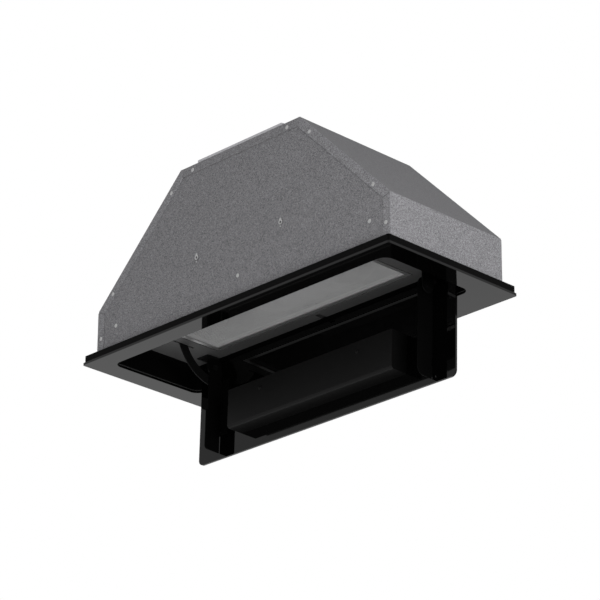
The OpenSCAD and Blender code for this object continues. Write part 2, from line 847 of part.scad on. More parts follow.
// A bell-mouthed inlet ring that flares out of the cheek's hole
module inlet_ring() {
    translate([scroll_w / 2, blower_y, blower_z]) rotate([0, 90, 0]) rotate_extrude($fn = round_fn) {
        intersection() {
            translate([inlet_r + inlet_flare, 0]) difference() {
                circle(inlet_flare, $fn = round_fn);
                circle(inlet_flare - inlet_t, $fn = round_fn);
            }
            translate([inlet_r, 0]) square(inlet_flare);
        }
        translate([inlet_r + inlet_flare - over, inlet_flare - inlet_t]) square([inlet_rim_w, inlet_t]);
        translate([inlet_r, 0]) square([inlet_flare, inlet_t]);
        translate([inlet_r, -inlet_lip]) square([inlet_t, inlet_lip]);
    }
}

module right_inlet_ring() color([0.2, 0.2, 0.21]) inlet_ring();

module left_inlet_ring() color([0.2, 0.2, 0.21]) mirror([1, 0, 0]) inlet_ring();

// One forward-curved blade: a crescent between the blade ring's inner and outer radius
module blade() {
    steps = 6;
    lean = (impeller_r - blade_in_r) / steps;
    outer = [for (i = [0:steps]) [blade_in_r + i * lean, blade_arc_r * (1 - cos(90 * i / steps))]];
    polygon(concat(outer, [for (i = [steps:-1:0]) outer[i] + [0, blade_t]]));
}

module impeller() color([0.25, 0.26, 0.27]) translate([0, blower_y, blower_z]) rotate([0, 90, 0]) {
    for (z = [-impeller_l / 2, hub_t / 2]) {
        translate([0, 0, z]) linear_extrude((impeller_l - hub_t) / 2) {
            for (i = [0:blade_count - 1]) rotate(360 * i / blade_count) blade();
        }
    }
    for (z = [-impeller_l / 2, impeller_l / 2 - ring_h]) {
        translate([0, 0, z]) difference() {
            cylinder(h = ring_h, r = impeller_r + blade_t, $fn = round_fn);
            translate([0, 0, -over]) {
                cylinder(h = ring_h + 2 * over, r = impeller_r - 2 * blade_t, $fn = round_fn);
            }
        }
    }
    difference() {
        union() {
            cylinder(h = hub_t, r = impeller_r, center = true, $fn = round_fn);
            translate([0, 0, -hub_l]) cylinder(h = hub_l, r = hub_r, $fn = round_fn);
        }
        cylinder(h = 4 * hub_l, r = shaft_r, center = true, $fn = pin_fn);
    }
}

module motor_shaft() color([0.75, 0.75, 0.76]) translate([0, blower_y, blower_z]) {
    bar_x(-hub_l - shaft_overhang, shaft_r, hub_l + motor_gap + motor_l);
}

module motor() color([0.35, 0.36, 0.38]) translate([motor_gap, blower_y, blower_z]) {
    rotate([0, 90, 0]) difference() {
        union() {
            cylinder(h = motor_l, r = motor_r, $fn = round_fn);
            cylinder(h = spider_x - motor_gap, r = motor_end_r, $fn = round_fn);
        }
        translate([0, 0, -over]) cylinder(h = motor_l, r = shaft_r + pin_play, $fn = pin_fn);
        for (i = [0:groove_count - 1]) rotate(360 * i / groove_count) translate([motor_r, 0, motor_l / 2]) {
            cube([2 * groove_d, groove_w, groove_l], center = true);
        }
    }
}

// Directions of the motor bracket's arms
module at_spider_arms() {
    for (i = [0:spider_arms - 1]) rotate(180 + 360 * i / spider_arms) children();
}

module motor_bracket() color([0.6, 0.6, 0.61]) translate([spider_x, blower_y, blower_z]) {
    rotate([0, 90, 0]) linear_extrude(spider_t) difference() {
        union() {
            circle(spider_hub_r, $fn = round_fn);
            at_spider_arms() translate([0, -spider_arm_w / 2]) {
                square([inlet_r + inlet_flare + inlet_rim_w / 2, spider_arm_w]);
            }
        }
        at_spider_arms() translate([spider_screw_at, 0]) circle(screw_r, $fn = pin_fn);
    }
}

module capacitor() color([0.85, 0.85, 0.86]) {
    translate([0, blower_y + cheek_hole_r + capacitor_r + capacitor_gap, blower_z - cheek_hole_r / 2]) {
        bar_x(-scroll_w / 2 - capacitor_l, capacitor_r, capacitor_l);
    }
}

module control_box() color([0.12, 0.12, 0.13]) {
    translate([control_x, skin_y - sheet_t - control_d - control_gap, sheet_t]) difference() {
        cube([control_w, control_d, control_h]);
        translate([control_wall, control_wall, control_wall]) {
            cube([control_w - 2 * control_wall, control_d - 2 * control_wall, control_h]);
        }
    }
}

module control_lid() color([0.14, 0.14, 0.15]) {
    translate([control_x, skin_y - sheet_t - control_d - control_gap, sheet_t + control_h]) {
        cube([control_w, control_d, control_lid_t]);
    }
}

module cable_gland() color([0.06, 0.06, 0.06]) translate([gland_x, gland_y, casing_h]) difference() {
    union() {
        cylinder(h = gland_h, r = gland_r, $fn = pin_fn);
        translate([0, 0, -gland_h]) cylinder(h = gland_h + over, r = gland_stem_r, $fn = pin_fn);
    }
    translate([0, 0, -2 * gland_h]) cylinder(h = 4 * gland_h, r = gland_bore_r, $fn = pin_fn);
}

module light_housing() color([0.8, 0.8, 0.8]) {
    translate([0, light_y, ceiling_z + ceiling_t]) difference() {
        linear_extrude(light_h) square([light_w + 2 * light_wall, light_d + 2 * light_wall], center = true);
        translate([0, 0, -over]) linear_extrude(light_h - light_wall + over) {
            square([light_w, light_d], center = true);
        }
    }
}

module light_diffuser() color([0.93, 0.93, 0.9]) {
    translate([-light_w / 2, light_y - light_d / 2, ceiling_z]) {
        cube([light_w, light_d, ceiling_t + light_wall]);
    }
}

module filter_frame() color([0.72, 0.72, 0.73]) translate([0, filter_y, ceiling_z]) difference() {
    union() {
        difference() {
            translate([-filter_w / 2, -filter_d / 2, 0]) cube([filter_w, filter_d, filter_t]);
            translate([-filter_w / 2 + filter_border, -filter_d / 2 + filter_border, -over]) {
                cube([filter_w - 2 * filter_border, filter_d - 2 * filter_border, filter_t + 2 * over]);
            }
            // The channel inside the frame that holds the mesh
            translate([-filter_w / 2 + filter_wall, -filter_d / 2 + filter_wall, filter_wall]) {
                cube([filter_w - 2 * filter_wall, filter_d - 2 * filter_wall, filter_t - 2 * filter_wall]);
            }
        }
        for (sx = [-1, 1]) {
            translate([0, -filter_d / 2 + filter_pin_back, filter_t / 2]) {
                bar_x(sx > 0 ? filter_w / 2 - filter_wall : -filter_w / 2 - filter_pin_l, filter_pin_r,
                    filter_pin_l + filter_wall);
            }
        }
    }
}

module filter_mesh() color([0.6, 0.6, 0.6]) translate([0, filter_y, ceiling_z + filter_wall]) {
    mesh_w = filter_w - 2 * filter_wall - fit_gap;
    mesh_d = filter_d - 2 * filter_wall - fit_gap;
    open_w = filter_w - 2 * filter_border;
    open_d = filter_d - 2 * filter_border;
    step_x = open_w / mesh_columns;
    step_y = open_d / mesh_rows;
    linear_extrude(mesh_t) difference() {
        square([mesh_w, mesh_d], center = true);
        for (i = [0:mesh_columns - 1], j = [0:mesh_rows - 1]) {
            translate([-open_w / 2 + (i + 0.5) * step_x, -open_d / 2 + (j + 0.5) * step_y]) {
                square([step_x - mesh_bar, step_y - mesh_bar], center = true);
            }
        }
    }
}

// Catch that holds the filter up: its block stands on the ceiling over a window, and its magnet lies on
// the rim's lip above the filter's far edge
module filter_catch() color([0.1, 0.1, 0.1]) translate([catch_x, filter_far_y, ceiling_z + ceiling_t]) {
    difference() {
        translate([-catch_w, catch_start, 0]) cube([2 * catch_w, catch_l, rim_h + catch_h]);
        translate([-catch_w / 2, catch_start - over, -over]) {
            cube([catch_w, catch_l + 2 * over, catch_recess]);
        }
    }
    translate([catch_w / 4, catch_start + catch_l / 2, 0]) {
        cylinder(h = catch_recess, r = catch_stud_r, $fn = pin_fn);
    }
    translate([-catch_w, catch_start - catch_reach, rim_h]) {
        cube([2 * catch_w, catch_reach, catch_magnet_t]);
    }
}

// Hinge bracket: an upright ear round the hinge and a flange under the ceiling, both folded from one sheet
module hinge_bracket() {
    ear_top = ceiling_z - hinge_z;
    difference() {
        union() {
            translate([0, hinge_y, hinge_z]) plate_at_x(bracket_x, bracket_t) {
                translate([bracket_near, 0]) square([bracket_d, ear_top]);
                circle(bracket_end_r, $fn = round_fn);
            }
            translate([bracket_x, hinge_y + bracket_near, ceiling_z - bracket_t]) {
                cube([bracket_flange_w, bracket_d, bracket_t]);
            }
        }
        translate([0, hinge_y, hinge_z]) {
            bar_x(bracket_x - over, hinge_pin_r + pin_play, bracket_t + 2 * over);
        }
    }
}

module right_hinge_bracket() color([0.07, 0.07, 0.07]) hinge_bracket();

module left_hinge_bracket() color([0.07, 0.07, 0.07]) mirror([1, 0, 0]) hinge_bracket();

module hinge_pin() translate([0, hinge_y, hinge_z]) {
    bar_x(arm_x - fit_gap, hinge_pin_r, bracket_x + bracket_t + pin_tail - arm_x + fit_gap);
    bar_x(arm_x - fit_gap - pin_head_t, pin_head_r, pin_head_t);
    bar_x(bracket_x + bracket_t, pin_clip_r, pin_head_t / 2);
}

module right_hinge_pin() color([0.3, 0.3, 0.3]) hinge_pin();

module left_hinge_pin() color([0.3, 0.3, 0.3]) mirror([1, 0, 0]) hinge_pin();

module bracket_screws() color([0.3, 0.3, 0.3]) {
    screw_x = bracket_x + bracket_flange_w - screw_head_r;
    for (sx = [-1, 1], y_share = bracket_screw_shares) {
        translate([sx * screw_x, hinge_y + bracket_near + bracket_d * y_share, ceiling_z - bracket_t]) {
            translate([0, 0, -screw_head_t]) cylinder(h = screw_head_t, r = screw_r, $fn = pin_fn);
        }
    }
}

module flap_glass() color([0.03, 0.03, 0.035]) flap_pose() {
    translate([0, flap_out, (flap_rise + flap_low) / 2]) rotate([90, 0, 0]) linear_extrude(glass_t) {
        rounded_rect(flap_w, flap_h, flap_corner_r);
    }
}

// Plate of an arm in Y and Z, with its foot rounded by foot_r and a step that narrows its upper part
module arm_outline(foot_z, foot_r, step) {
    far = flap_in - arm_t;
    intersection() {
        union() {
            circle(arm_top_r, $fn = round_fn);
            translate([0, arm_flange_top]) square([arm_neck_w, -arm_flange_top]);
            translate([arm_near + step, arm_step_z]) square([far - arm_near - step, -arm_step_z]);
            translate([arm_near, foot_z + foot_r]) square([far - arm_near, arm_step_z - foot_z - foot_r]);
            translate([arm_near + foot_r, foot_z]) square([far - arm_near - foot_r, foot_r]);
            translate([arm_near + foot_r, foot_z + foot_r]) circle(foot_r, $fn = round_fn);
        }
        translate([-2 * arm_top_r, foot_z]) square([2 * arm_top_r + far, arm_top_r - foot_z]);
    }
}

// A flap arm on the right: the upright plate, the flange bonded to the glass and the hinge bore
module arm(foot_z, foot_r, step, hole_r) {
    difference() {
        union() {
            plate_at_x(arm_x, arm_t) arm_outline(foot_z, foot_r, step);
            translate([arm_x - arm_flange_w, flap_in - arm_t, arm_flange_low]) {
                cube([arm_flange_w + arm_t, arm_t, arm_flange_top - arm_flange_low]);
            }
        }
        bar_x(arm_x - over, hinge_pin_r + pin_play, arm_t + 2 * over);
        if (hole_r > 0) {
            translate([0, foot_hole_y, foot_z + foot_hole_rise]) {
                bar_x(arm_x - over, hole_r, arm_t + 2 * over);
            }
        }
    }
}

module right_arm() color([0.06, 0.06, 0.06]) flap_pose() {
    arm(right_foot_z, right_foot_r, 0, foot_hole_r);
    translate([0, 0, -crank_l]) bar_x(arm_x + arm_t, lever_pin_r, lever_t / 2);
}

module left_arm() color([0.06, 0.06, 0.06]) flap_pose() mirror([1, 0, 0]) {
    arm(left_foot_z, left_foot_r, arm_step, 0);
    translate([0, 0, -crank_l]) {
        bar_x(arm_x + arm_t, lever_pin_r, lever_x - arm_x - arm_t + lever_t + fit_gap);
        bar_x(arm_x - screw_head_t / 2, lever_pin_head_r, screw_head_t / 2);
    }
}

box_screw_z = box_top - box_screw_drop;

module box_rail() color([0.3, 0.3, 0.3]) flap_pose() {
    translate([-box_w / 2 + rail_margin, flap_in - rail_t, box_screw_z - rail_h / 2]) {
        cube([box_w - 2 * rail_margin, rail_t, rail_h]);
    }
    for (sx = [-1, 1]) translate([sx * box_screw_x, flap_in - rail_t, box_screw_z]) rotate([90, 0, 0]) {
        difference() {
            cylinder(h = box_d - rail_t - box_t, r = boss_r, $fn = pin_fn);
            translate([0, 0, rail_t]) cylinder(h = box_d, r = screw_r, $fn = pin_fn);
        }
    }
}

// Section of the flap box in Y and Z, drawn in by inset, with its free lower edge rounded
module box_section(inset) {
    r = box_edge_r - inset;
    low = box_low + inset;
    near = box_near + inset;
    translate([near, low + r]) square([flap_in - near, box_top - inset - low - r]);
    translate([near + r, low]) square([flap_in - near - r, r]);
    translate([near + r, low + r]) circle(r, $fn = pin_fn);
}

module flap_box() color([0.1, 0.1, 0.1]) flap_pose() difference() {
    plate_at_x(-box_w / 2, box_w) box_section(0);
    plate_at_x(-box_w / 2 + box_t, box_w - 2 * box_t) translate([over, 0]) box_section(box_t);
    plate_at_x(-box_w / 2 + box_t, box_w - 2 * box_t) box_section(box_t);
    for (sx = [-1, 1]) translate([sx * box_screw_x, box_near + 2 * box_t, box_screw_z]) rotate([90, 0, 0]) {
        cylinder(h = 4 * box_t, r = screw_r + fit_gap, $fn = pin_fn);
    }
}

module box_screws() color([0.05, 0.05, 0.05]) flap_pose() {
    for (sx = [-1, 1]) translate([sx * box_screw_x, box_near, box_screw_z]) rotate([90, 0, 0]) {
        difference() {
            cylinder(h = screw_head_t, r = screw_head_r, $fn = pin_fn);
            for (a = [0, 90]) translate([0, 0, screw_head_t / 2]) rotate(a) {
                cube([screw_head_r, screw_r / 2, 2 * screw_head_t], center = true);
            }
        }
        translate([0, 0, -box_screw_l]) cylinder(h = box_screw_l, r = screw_r - pin_play, $fn = pin_fn);
    }
}

module drive_bracket() color([0.6, 0.6, 0.61]) difference() {
    union() {
        translate([-drive_bracket_x, drive_y - drive_bracket_d / 2, ceiling_z + ceiling_t]) {
            translate([-drive_bracket_t, 0, 0]) {
                cube([drive_bracket_t, drive_bracket_d, drive_z - ceiling_z + drive_bracket_rise]);
            }
            translate([-drive_foot_w, 0, 0]) cube([drive_foot_w, drive_bracket_d, drive_bracket_t]);
        }
    }
    translate([0, drive_y, drive_z]) {
        bar_x(-drive_bracket_x - 2 * drive_bracket_t, drive_hole_r, 4 * drive_bracket_t);
    }
}

module gear_motor() color([0.16, 0.16, 0.17]) translate([-motor_face_x, drive_y, drive_z]) {
    translate([-gearbox_w, -gearbox_d / 2, -gearbox_h / 2]) difference() {
        cube([gearbox_w, gearbox_d, gearbox_h]);
        translate([gearbox_w / 2, gearbox_d / 2, gearbox_h / 2]) {
            bar_x(0, drive_shaft_r + pin_play, gearbox_w);
        }
    }
    translate([-gearbox_w / 2, gearbox_d / 2, 0]) rotate([-90, 0, 0]) {
        cylinder(h = drive_motor_l, r = drive_motor_r, $fn = round_fn);
        cylinder(h = drive_motor_l + drive_motor_cap_h, r = drive_motor_cap_r, $fn = pin_fn);
    }
}

// Crank on the drive's shaft, parallel to the line from the hinge to the lever's pin
module drive_crank() color([0.5, 0.5, 0.52]) translate([0, drive_y, drive_z]) rotate([-flap_lean, 0, 0]) {
    mirror([1, 0, 0]) plate_at_x(crank_x, crank_t) {
        circle(crank_eye_r, $fn = round_fn);
        translate([0, -crank_l]) circle(crank_eye_r, $fn = round_fn);
        translate([-crank_eye_r, -crank_l]) square([2 * crank_eye_r, crank_l]);
    }
    shaft_end_x = drive_bracket_x + gearbox_w / 2;
    bar_x(-shaft_end_x, drive_shaft_r, shaft_end_x - crank_x - crank_t);
    translate([0, 0, -crank_l]) bar_x(-crank_x, lever_pin_r, crank_x - lever_x + fit_gap);
}

// Curved lever: an arc of flat bar between its two eyes
module curved_lever() color([0.08, 0.08, 0.08]) difference() {
    mirror([1, 0, 0]) plate_at_x(lever_x, lever_t) {
        translate([lever_centre_y, lever_centre_z]) intersection() {
            difference() {
                circle(lever_r + lever_w / 2, $fn = 2 * round_fn);
                circle(lever_r - lever_w / 2, $fn = 2 * round_fn);
            }
            polygon([
                [0, 0],
                -2 * lever_r * [sin(lever_lead_angle), cos(lever_lead_angle)],
                -3 * lever_r * [sin(lever_lead_angle + lever_angle / 2), cos(lever_lead_angle + lever_angle / 2)],
                -2 * lever_r * [sin(lever_end_angle), cos(lever_end_angle)]
            ]);
        }
        translate([lever_pin_y, lever_pin_z]) circle(lever_eye_r, $fn = round_fn);
        translate([crank_pin_y, crank_pin_z]) circle(lever_eye_r, $fn = round_fn);
    }
    translate([0, lever_pin_y, lever_pin_z]) {
        bar_x(-lever_x - lever_t - over, lever_pin_r + pin_play, lever_t + 2 * over);
    }
    translate([0, crank_pin_y, crank_pin_z]) {
        bar_x(-lever_x - lever_t - over, lever_pin_r + loose_play, lever_t + 2 * over);
    }
}

// Rubber buffers that the arms meet when the flap closes
module closing_buffers() color([0.05, 0.05, 0.05]) {
    for (sx = [-1, 1]) translate([sx * (arm_x + arm_t / 2), buffer_y, hinge_z - arm_near + fit_gap]) {
        cylinder(h = ceiling_z - hinge_z + arm_near - fit_gap, r = buffer_r, $fn = pin_fn);
    }
}

glass_frame();
foam_tape();
frame_pan();
cabinet_nuts();
recess_liner();
ceiling_plate();
near_panel();
far_panel();
left_end_panel();
right_end_panel();
top_plate();
near_rivets();
far_rivets();
hanging_plates();
outlet_plate();
duct_collar();
damper_pin();
near_damper();
far_damper();
scroll_band();
left_scroll_cheek();
right_scroll_cheek();
left_inlet_ring();
right_inlet_ring();
impeller();
motor_shaft();
motor();
motor_bracket();
capacitor();
control_box();
control_lid();
cable_gland();
light_housing();
light_diffuser();
filter_frame();
filter_mesh();
filter_catch();
left_hinge_bracket();
right_hinge_bracket();
left_hinge_pin();
right_hinge_pin();
bracket_screws();
flap_glass();
left_arm();
right_arm();
box_rail();
flap_box();
box_screws();
drive_bracket();
gear_motor();
drive_crank();
curved_lever();
closing_buffers();
sealing_strips();
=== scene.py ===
"""Built-in range hood with a glass frame and a drop-down suction flap, dressed for rendering.

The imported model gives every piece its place. Sheet metal and glass get rounded edges, fasteners and the
filter's mesh are modelled anew, and each finish is a small class that builds its own material.
"""
import sys
import json
import logging
import math
from contextlib import contextmanager
from dataclasses import dataclass, field
from enum import Enum
from typing import Callable, Iterable, Iterator, Protocol

import bmesh
import bpy
from mathutils import Matrix, Quaternion, Vector


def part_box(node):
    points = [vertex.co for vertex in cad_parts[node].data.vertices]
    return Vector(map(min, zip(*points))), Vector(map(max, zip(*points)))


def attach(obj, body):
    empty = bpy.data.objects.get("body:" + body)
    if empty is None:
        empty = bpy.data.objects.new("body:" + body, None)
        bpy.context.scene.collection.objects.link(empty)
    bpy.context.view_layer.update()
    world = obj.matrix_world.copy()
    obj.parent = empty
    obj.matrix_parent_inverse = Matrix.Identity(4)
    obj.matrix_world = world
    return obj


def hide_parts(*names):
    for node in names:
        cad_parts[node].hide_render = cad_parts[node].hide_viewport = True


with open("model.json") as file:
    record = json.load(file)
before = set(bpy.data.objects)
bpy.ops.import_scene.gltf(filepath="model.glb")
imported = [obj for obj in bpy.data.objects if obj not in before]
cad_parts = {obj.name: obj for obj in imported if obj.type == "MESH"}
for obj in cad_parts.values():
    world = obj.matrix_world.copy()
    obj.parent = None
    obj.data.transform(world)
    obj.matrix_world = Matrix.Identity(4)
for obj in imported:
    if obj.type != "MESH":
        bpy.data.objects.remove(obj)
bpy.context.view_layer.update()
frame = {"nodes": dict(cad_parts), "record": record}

LOG = logging.getLogger("range_hood")
MM = 0.001
Triple = tuple[float, float, float]
Colour = Triple
EVEN: Triple = (1.0, 1.0, 1.0)


class Body(Enum):
    """The bodies of the hood that a piece can move with."""

    ROOT = "root"
    FLAP = "flap"
    LEVER = "lever"
    CRANK = "crank"
    ROTOR = "rotor"
    NEAR_DAMPER = "near_damper"
    FAR_DAMPER = "far_damper"


class Slot(Enum):
    """The material slots of the record."""

    FRAME_GLASS = "frame_glass"
    FOAM = "foam"
    BLACK_STEEL = "black_steel"
    GALVANISED = "galvanised"
    RECESS_GREY = "recess_grey"
    RIVET_STEEL = "rivet_steel"
    FILTER_STEEL = "filter_steel"
    BLACK_PLASTIC = "black_plastic"
    MOTOR_GREY = "motor_grey"
    SHAFT_STEEL = "shaft_steel"
    LAMP_WHITE = "lamp_white"
    WHITE_PLASTIC = "white_plastic"
    ZINC = "zinc"


class Signal:
    """A value or colour on its way through a material's nodes, with arithmetic on values."""

    def __init__(self, tree: "ShaderTree", socket: bpy.types.NodeSocket) -> None:
        """Wraps a socket.

        Args:
            tree: The node tree that the socket belongs to.
            socket: The output socket to carry on from.
        """
        self.tree = tree
        self.socket = socket

    def _math(self, operation: str, *values: "Signal | float", clamp: bool = False) -> "Signal":
        """Adds one Math node.

        Args:
            operation: The node's operation.
            *values: Its inputs in order.
            clamp: Whether the result is held between 0 and 1.

        Returns:
            The node's result.
        """
        return self.tree.node("ShaderNodeMath", {"operation": operation, "use_clamp": clamp}, *values)

    def __add__(self, other: "Signal | float") -> "Signal":
        """Returns self plus other."""
        return self._math("ADD", self, other)

    def __radd__(self, other: float) -> "Signal":
        """Returns other plus self."""
        return self._math("ADD", other, self)

    def __sub__(self, other: "Signal | float") -> "Signal":
        """Returns self minus other."""
        return self._math("SUBTRACT", self, other)

    def __rsub__(self, other: float) -> "Signal":
        """Returns other minus self."""
        return self._math("SUBTRACT", other, self)

    def __mul__(self, other: "Signal | float") -> "Signal":
        """Returns self times other."""
        return self._math("MULTIPLY", self, other)

    def __rmul__(self, other: float) -> "Signal":
        """Returns other times self."""
        return self._math("MULTIPLY", other, self)

    def __pow__(self, other: "Signal | float") -> "Signal":
        """Returns self to the power of other."""
        return self._math("POWER", self, other)

    def step(self, low: float, high: float) -> "Signal":
        """Rises smoothly from 0 to 1.

        Args:
            low: The value that gives 0.
            high: The value that gives 1.

        Returns:
            The smooth step of this value.
        """
        settings = {"interpolation_type": "SMOOTHSTEP"}
        return self.tree.node("ShaderNodeMapRange", settings, self, low, high, 0.0, 1.0)

    def spread(self, low: float, high: float) -> "Signal":
        """Maps 0 to 1 onto another span, held at its ends.

        Args:
            low: What 0 becomes.
            high: What 1 becomes.

        Returns:
            The mapped value.
        """
        return self.tree.node("ShaderNodeMapRange", {"clamp": True}, self, 0.0, 1.0, low, high)

    def tint(self, low: Colour, high: Colour) -> "Signal":
        """Turns this value into a colour between two colours.

        Args:
            low: The colour where this value is 0.
            high: The colour where it is 1.

        Returns:
            The mixed colour.
        """
        mix = self.tree.raw("ShaderNodeMix", {"data_type": "RGBA", "clamp_factor": True})
        factor, _, _, _, _, _, first, second = mix.inputs[:8]
        self.tree.feed(factor, self)
        self.tree.feed(first, low)
        self.tree.feed(second, high)
        return Signal(self.tree, mix.outputs[2])


def grey(level: float, warmth: float = 0.0) -> Colour:
    """Returns a near-neutral colour.

    Args:
        level: Its linear brightness.
        warmth: How much red it gains and blue it loses, as a share.

    Returns:
        The linear colour.
    """
    return (level * (1 + warmth), level, level * (1 - warmth))


def zinc_grey(level: float) -> Colour:
    """Returns the faintly violet grey of a zinc skin at a linear brightness."""
    return (level * 1.01, level, level * 1.045)


class ShaderTree:
    """The node tree of one material."""

    def __init__(self, name: str) -> None:
        """Starts a material with a Principled surface.

        Args:
            name: The material's name.
        """
        self.material = bpy.data.materials.new(name)
        self.material.use_nodes = True
        self.links = self.material.node_tree.links
        self.nodes = self.material.node_tree.nodes
        self.surface = self.nodes["Principled BSDF"]
        self._place = self.raw("ShaderNodeTexCoord", {}).outputs["Object"]

    def raw(self, kind: str, settings: dict[str, object]) -> bpy.types.Node:
        """Adds a node and sets its settings.

        Args:
            kind: The node's type.
            settings: Its properties by name.

        Returns:
            The node.
        """
        made = self.nodes.new(kind)
        for key, value in settings.items():
            setattr(made, key, value)
        return made

    def feed(self, socket: bpy.types.NodeSocket, value: "Signal | float | Colour") -> None:
        """Links a signal to an input socket, or sets the socket's own value.

        Args:
            socket: The input socket.
            value: A signal, number or colour.
        """
        if isinstance(value, Signal):
            self.links.new(value.socket, socket)
        elif isinstance(value, tuple) and len(socket.default_value) == 4:
            socket.default_value = (*value, 1.0)
        else:
            socket.default_value = value

    def node(self, kind: str, settings: dict[str, object], *values: "Signal | float | Colour",
             output: int = 0, **named: "Signal | float | Colour") -> Signal:
        """Adds a node with its inputs.

        Args:
            kind: The node's type.
            settings: Its properties by name.
            *values: Its first inputs in order.
            output: Which output to carry on from.
            **named: Further inputs by name, with an underscore for a space.

        Returns:
            The chosen output.
        """
        made = self.raw(kind, settings)
        for socket, value in zip(made.inputs, values):
            self.feed(socket, value)
        for key, value in named.items():
            self.feed(made.inputs[key.replace("_", " ")], value)
        return Signal(self, made.outputs[output])

    def place(self, stretch: Triple = EVEN) -> Signal:
        """Returns the point on the piece, in metres, stretched along its axes."""
        return self.node("ShaderNodeMapping", {}, Signal(self, self._place), Scale=stretch)

    def axis(self, index: int) -> Signal:
        """Returns one coordinate on the piece, in metres, counted from 0 for X."""
        return self.node("ShaderNodeSeparateXYZ", {}, self.place(), output=index)

    def noise(self, grain: float, detail: float = 2.0, stretch: Triple = EVEN) -> Signal:
        """Adds cloudy noise between 0 and 1.

        Args:
            grain: The size of its features in metres.
            detail: How many finer layers it has.
            stretch: How the pattern is squeezed along X, Y and Z.

        Returns:
            The noise value.
        """
        return self.node("ShaderNodeTexNoise", {"noise_dimensions": "3D"}, Vector=self.place(stretch),
                         Scale=1.0 / grain, Detail=detail, Roughness=0.6)

    def cells(self, grain: float) -> Signal:
        """Adds a random value for each cell of a broken pattern.

        Args:
            grain: The size of a cell in metres.

        Returns:
            The cell's random value, from 0 to 1.
        """
        colour = self.node("ShaderNodeTexVoronoi", {"feature": "F1"}, Vector=self.place(),
                           Scale=1.0 / grain, output=1)
        return self.node("ShaderNodeSeparateColor", {}, colour)

    def bump(self, height: Signal, depth: float) -> None:
        """Feeds a height to the surface's normal.

        Args:
            height: The height, about 0 to 1.
            depth: What 1 stands for, in metres.
        """
        self.feed(self.surface.inputs["Normal"],
                  self.node("ShaderNodeBump", {}, Strength=1.0, Distance=depth, Height=height))

    def finish(self, **sockets: "Signal | float | Colour") -> bpy.types.Material:
        """Sets the Principled surface's inputs.

        Args:
            **sockets: Inputs by name, with an underscore for a space.

        Returns:
            The finished material.
        """
        for key, value in sockets.items():
            self.feed(self.surface.inputs[key.replace("_", " ")], value)
        return self.material


class Finish(Protocol):
    """What every finish can do."""

    def material(self) -> bpy.types.Material:
        """Builds the finish's material and returns it."""


@dataclass(frozen=True)
class Glass:
    """Black back-painted float glass with a polished face."""

    name: str = "black glass"
    level: float = 0.0006
    sheen: float = 0.18
    smear: float = 90 * MM
    polished: float = 0.015
    hazy: float = 0.05
    bright_share: float = 1.4
    index: float = 1.52

    def material(self) -> bpy.types.Material:
        """Builds deep black with a faint uneven polish.

        Returns:
            The material.
        """
        tree = ShaderTree(self.name)
        haze = tree.noise(self.smear, 3.0)
        return tree.finish(Base_Color=haze.tint(grey(self.level), grey(self.level * self.bright_share)),
                           Roughness=haze.spread(self.polished, self.hazy), IOR=self.index,
                           Specular_IOR_Level=self.sheen)


@dataclass(frozen=True)
class PowderCoat:
    """Powder coat or paint over sheet steel or a motor's housing, black as it stands."""

    name: str = "black powder coat"
    level: float = 0.003
    roughness: float = 0.42
    sheen: float = 0.15
    peel: float = 1.1 * MM
    depth: float = 0.02 * MM
    cloud: float = 60 * MM
    variation: float = 0.15
    peel_share: float = 0.1
    cloud_share: float = 0.08

    def material(self) -> bpy.types.Material:
        """Builds a satin skin with the fine peel that the oven leaves.

        Returns:
            The material.
        """
        tree = ShaderTree(self.name)
        peel = tree.noise(self.peel, 1.0)
        cloud = tree.noise(self.cloud, 2.0)
        tree.bump(peel, self.depth)
        unevenness = peel * self.peel_share + cloud * self.cloud_share
        mean = (self.peel_share + self.cloud_share) / 2
        low, high = self.level * (1 - self.variation), self.level * (1 + self.variation)
        return tree.finish(Base_Color=cloud.tint(grey(low), grey(high)),
                           Roughness=unevenness + (self.roughness - mean),
                           Specular_IOR_Level=self.sheen)


@dataclass(frozen=True)
class Galvanised:
    """Hot-dip galvanised sheet with its fine speckle.

    Higher than plain_above and nearer to the middle than plain_within the skin is plain and painted darker,
    so that the slope of an end panel is plain with painted shade and its laps keep their speckle. As it
    stands, plain_above is far over the hood.
    """

    name: str = "galvanised sheet"
    level: float = 0.165
    contrast: float = 0.75
    grain: float = 1.1 * MM
    metal: float = 0.05
    sheen: float = 0.2
    cloud: float = 45 * MM
    cloud_share: float = 0.08
    crystal_share: float = 0.45
    crystal_size_share: float = 1.2
    speckle_low: float = 0.3
    speckle_high: float = 0.7
    plain_above: float = 10.0
    plain_within: float = 124.6 * MM
    plain_calm: float = 0.7
    # How far the plain skin is painted darker: painted shade on an end panel's slope.
    plain_painted_shade: float = 0.24
    plain_edge: float = 0.00001
    fold: float = 1 * MM
    depth: float = 0.05 * MM
    dull: float = 0.66
    bright: float = 0.5

    def material(self) -> bpy.types.Material:
        """Builds a grainy zinc skin, bright crystals among dull ones, that turns plain above a height and
        darker there, as painted shade.

        Returns:
            The material.
        """
        tree = ShaderTree(self.name)
        speckle = tree.noise(self.grain, 2.0)
        crystal = tree.cells(self.grain * self.crystal_size_share)
        cloud = tree.noise(self.cloud, 2.0)
        across = tree.axis(1)
        within = (self.plain_within ** 2 - across * across).step(-self.plain_edge, self.plain_edge)
        plain = tree.axis(2).step(self.plain_above, self.plain_above + self.fold) * within
        spots = speckle.step(self.speckle_low, self.speckle_high)
        grain = spots * (1 - self.crystal_share) + crystal * self.crystal_share
        relief = grain * (1 - self.cloud_share) + cloud * self.cloud_share - 0.5
        # Where the skin turns plain its speckle is calmed and its tone lowered: painted shade on an end
        # panel's slope.
        tone = relief * (1.0 - plain * self.plain_calm) + 0.5 - plain * self.plain_painted_shade
        tree.bump(tone, self.depth)
        low, high = self.level * (1 - self.contrast), self.level * (1 + self.contrast)
        return tree.finish(Base_Color=tone.tint(zinc_grey(low), zinc_grey(high)),
                           Roughness=tone.spread(self.dull, self.bright), Metallic=self.metal,
                           Specular_IOR_Level=self.sheen)


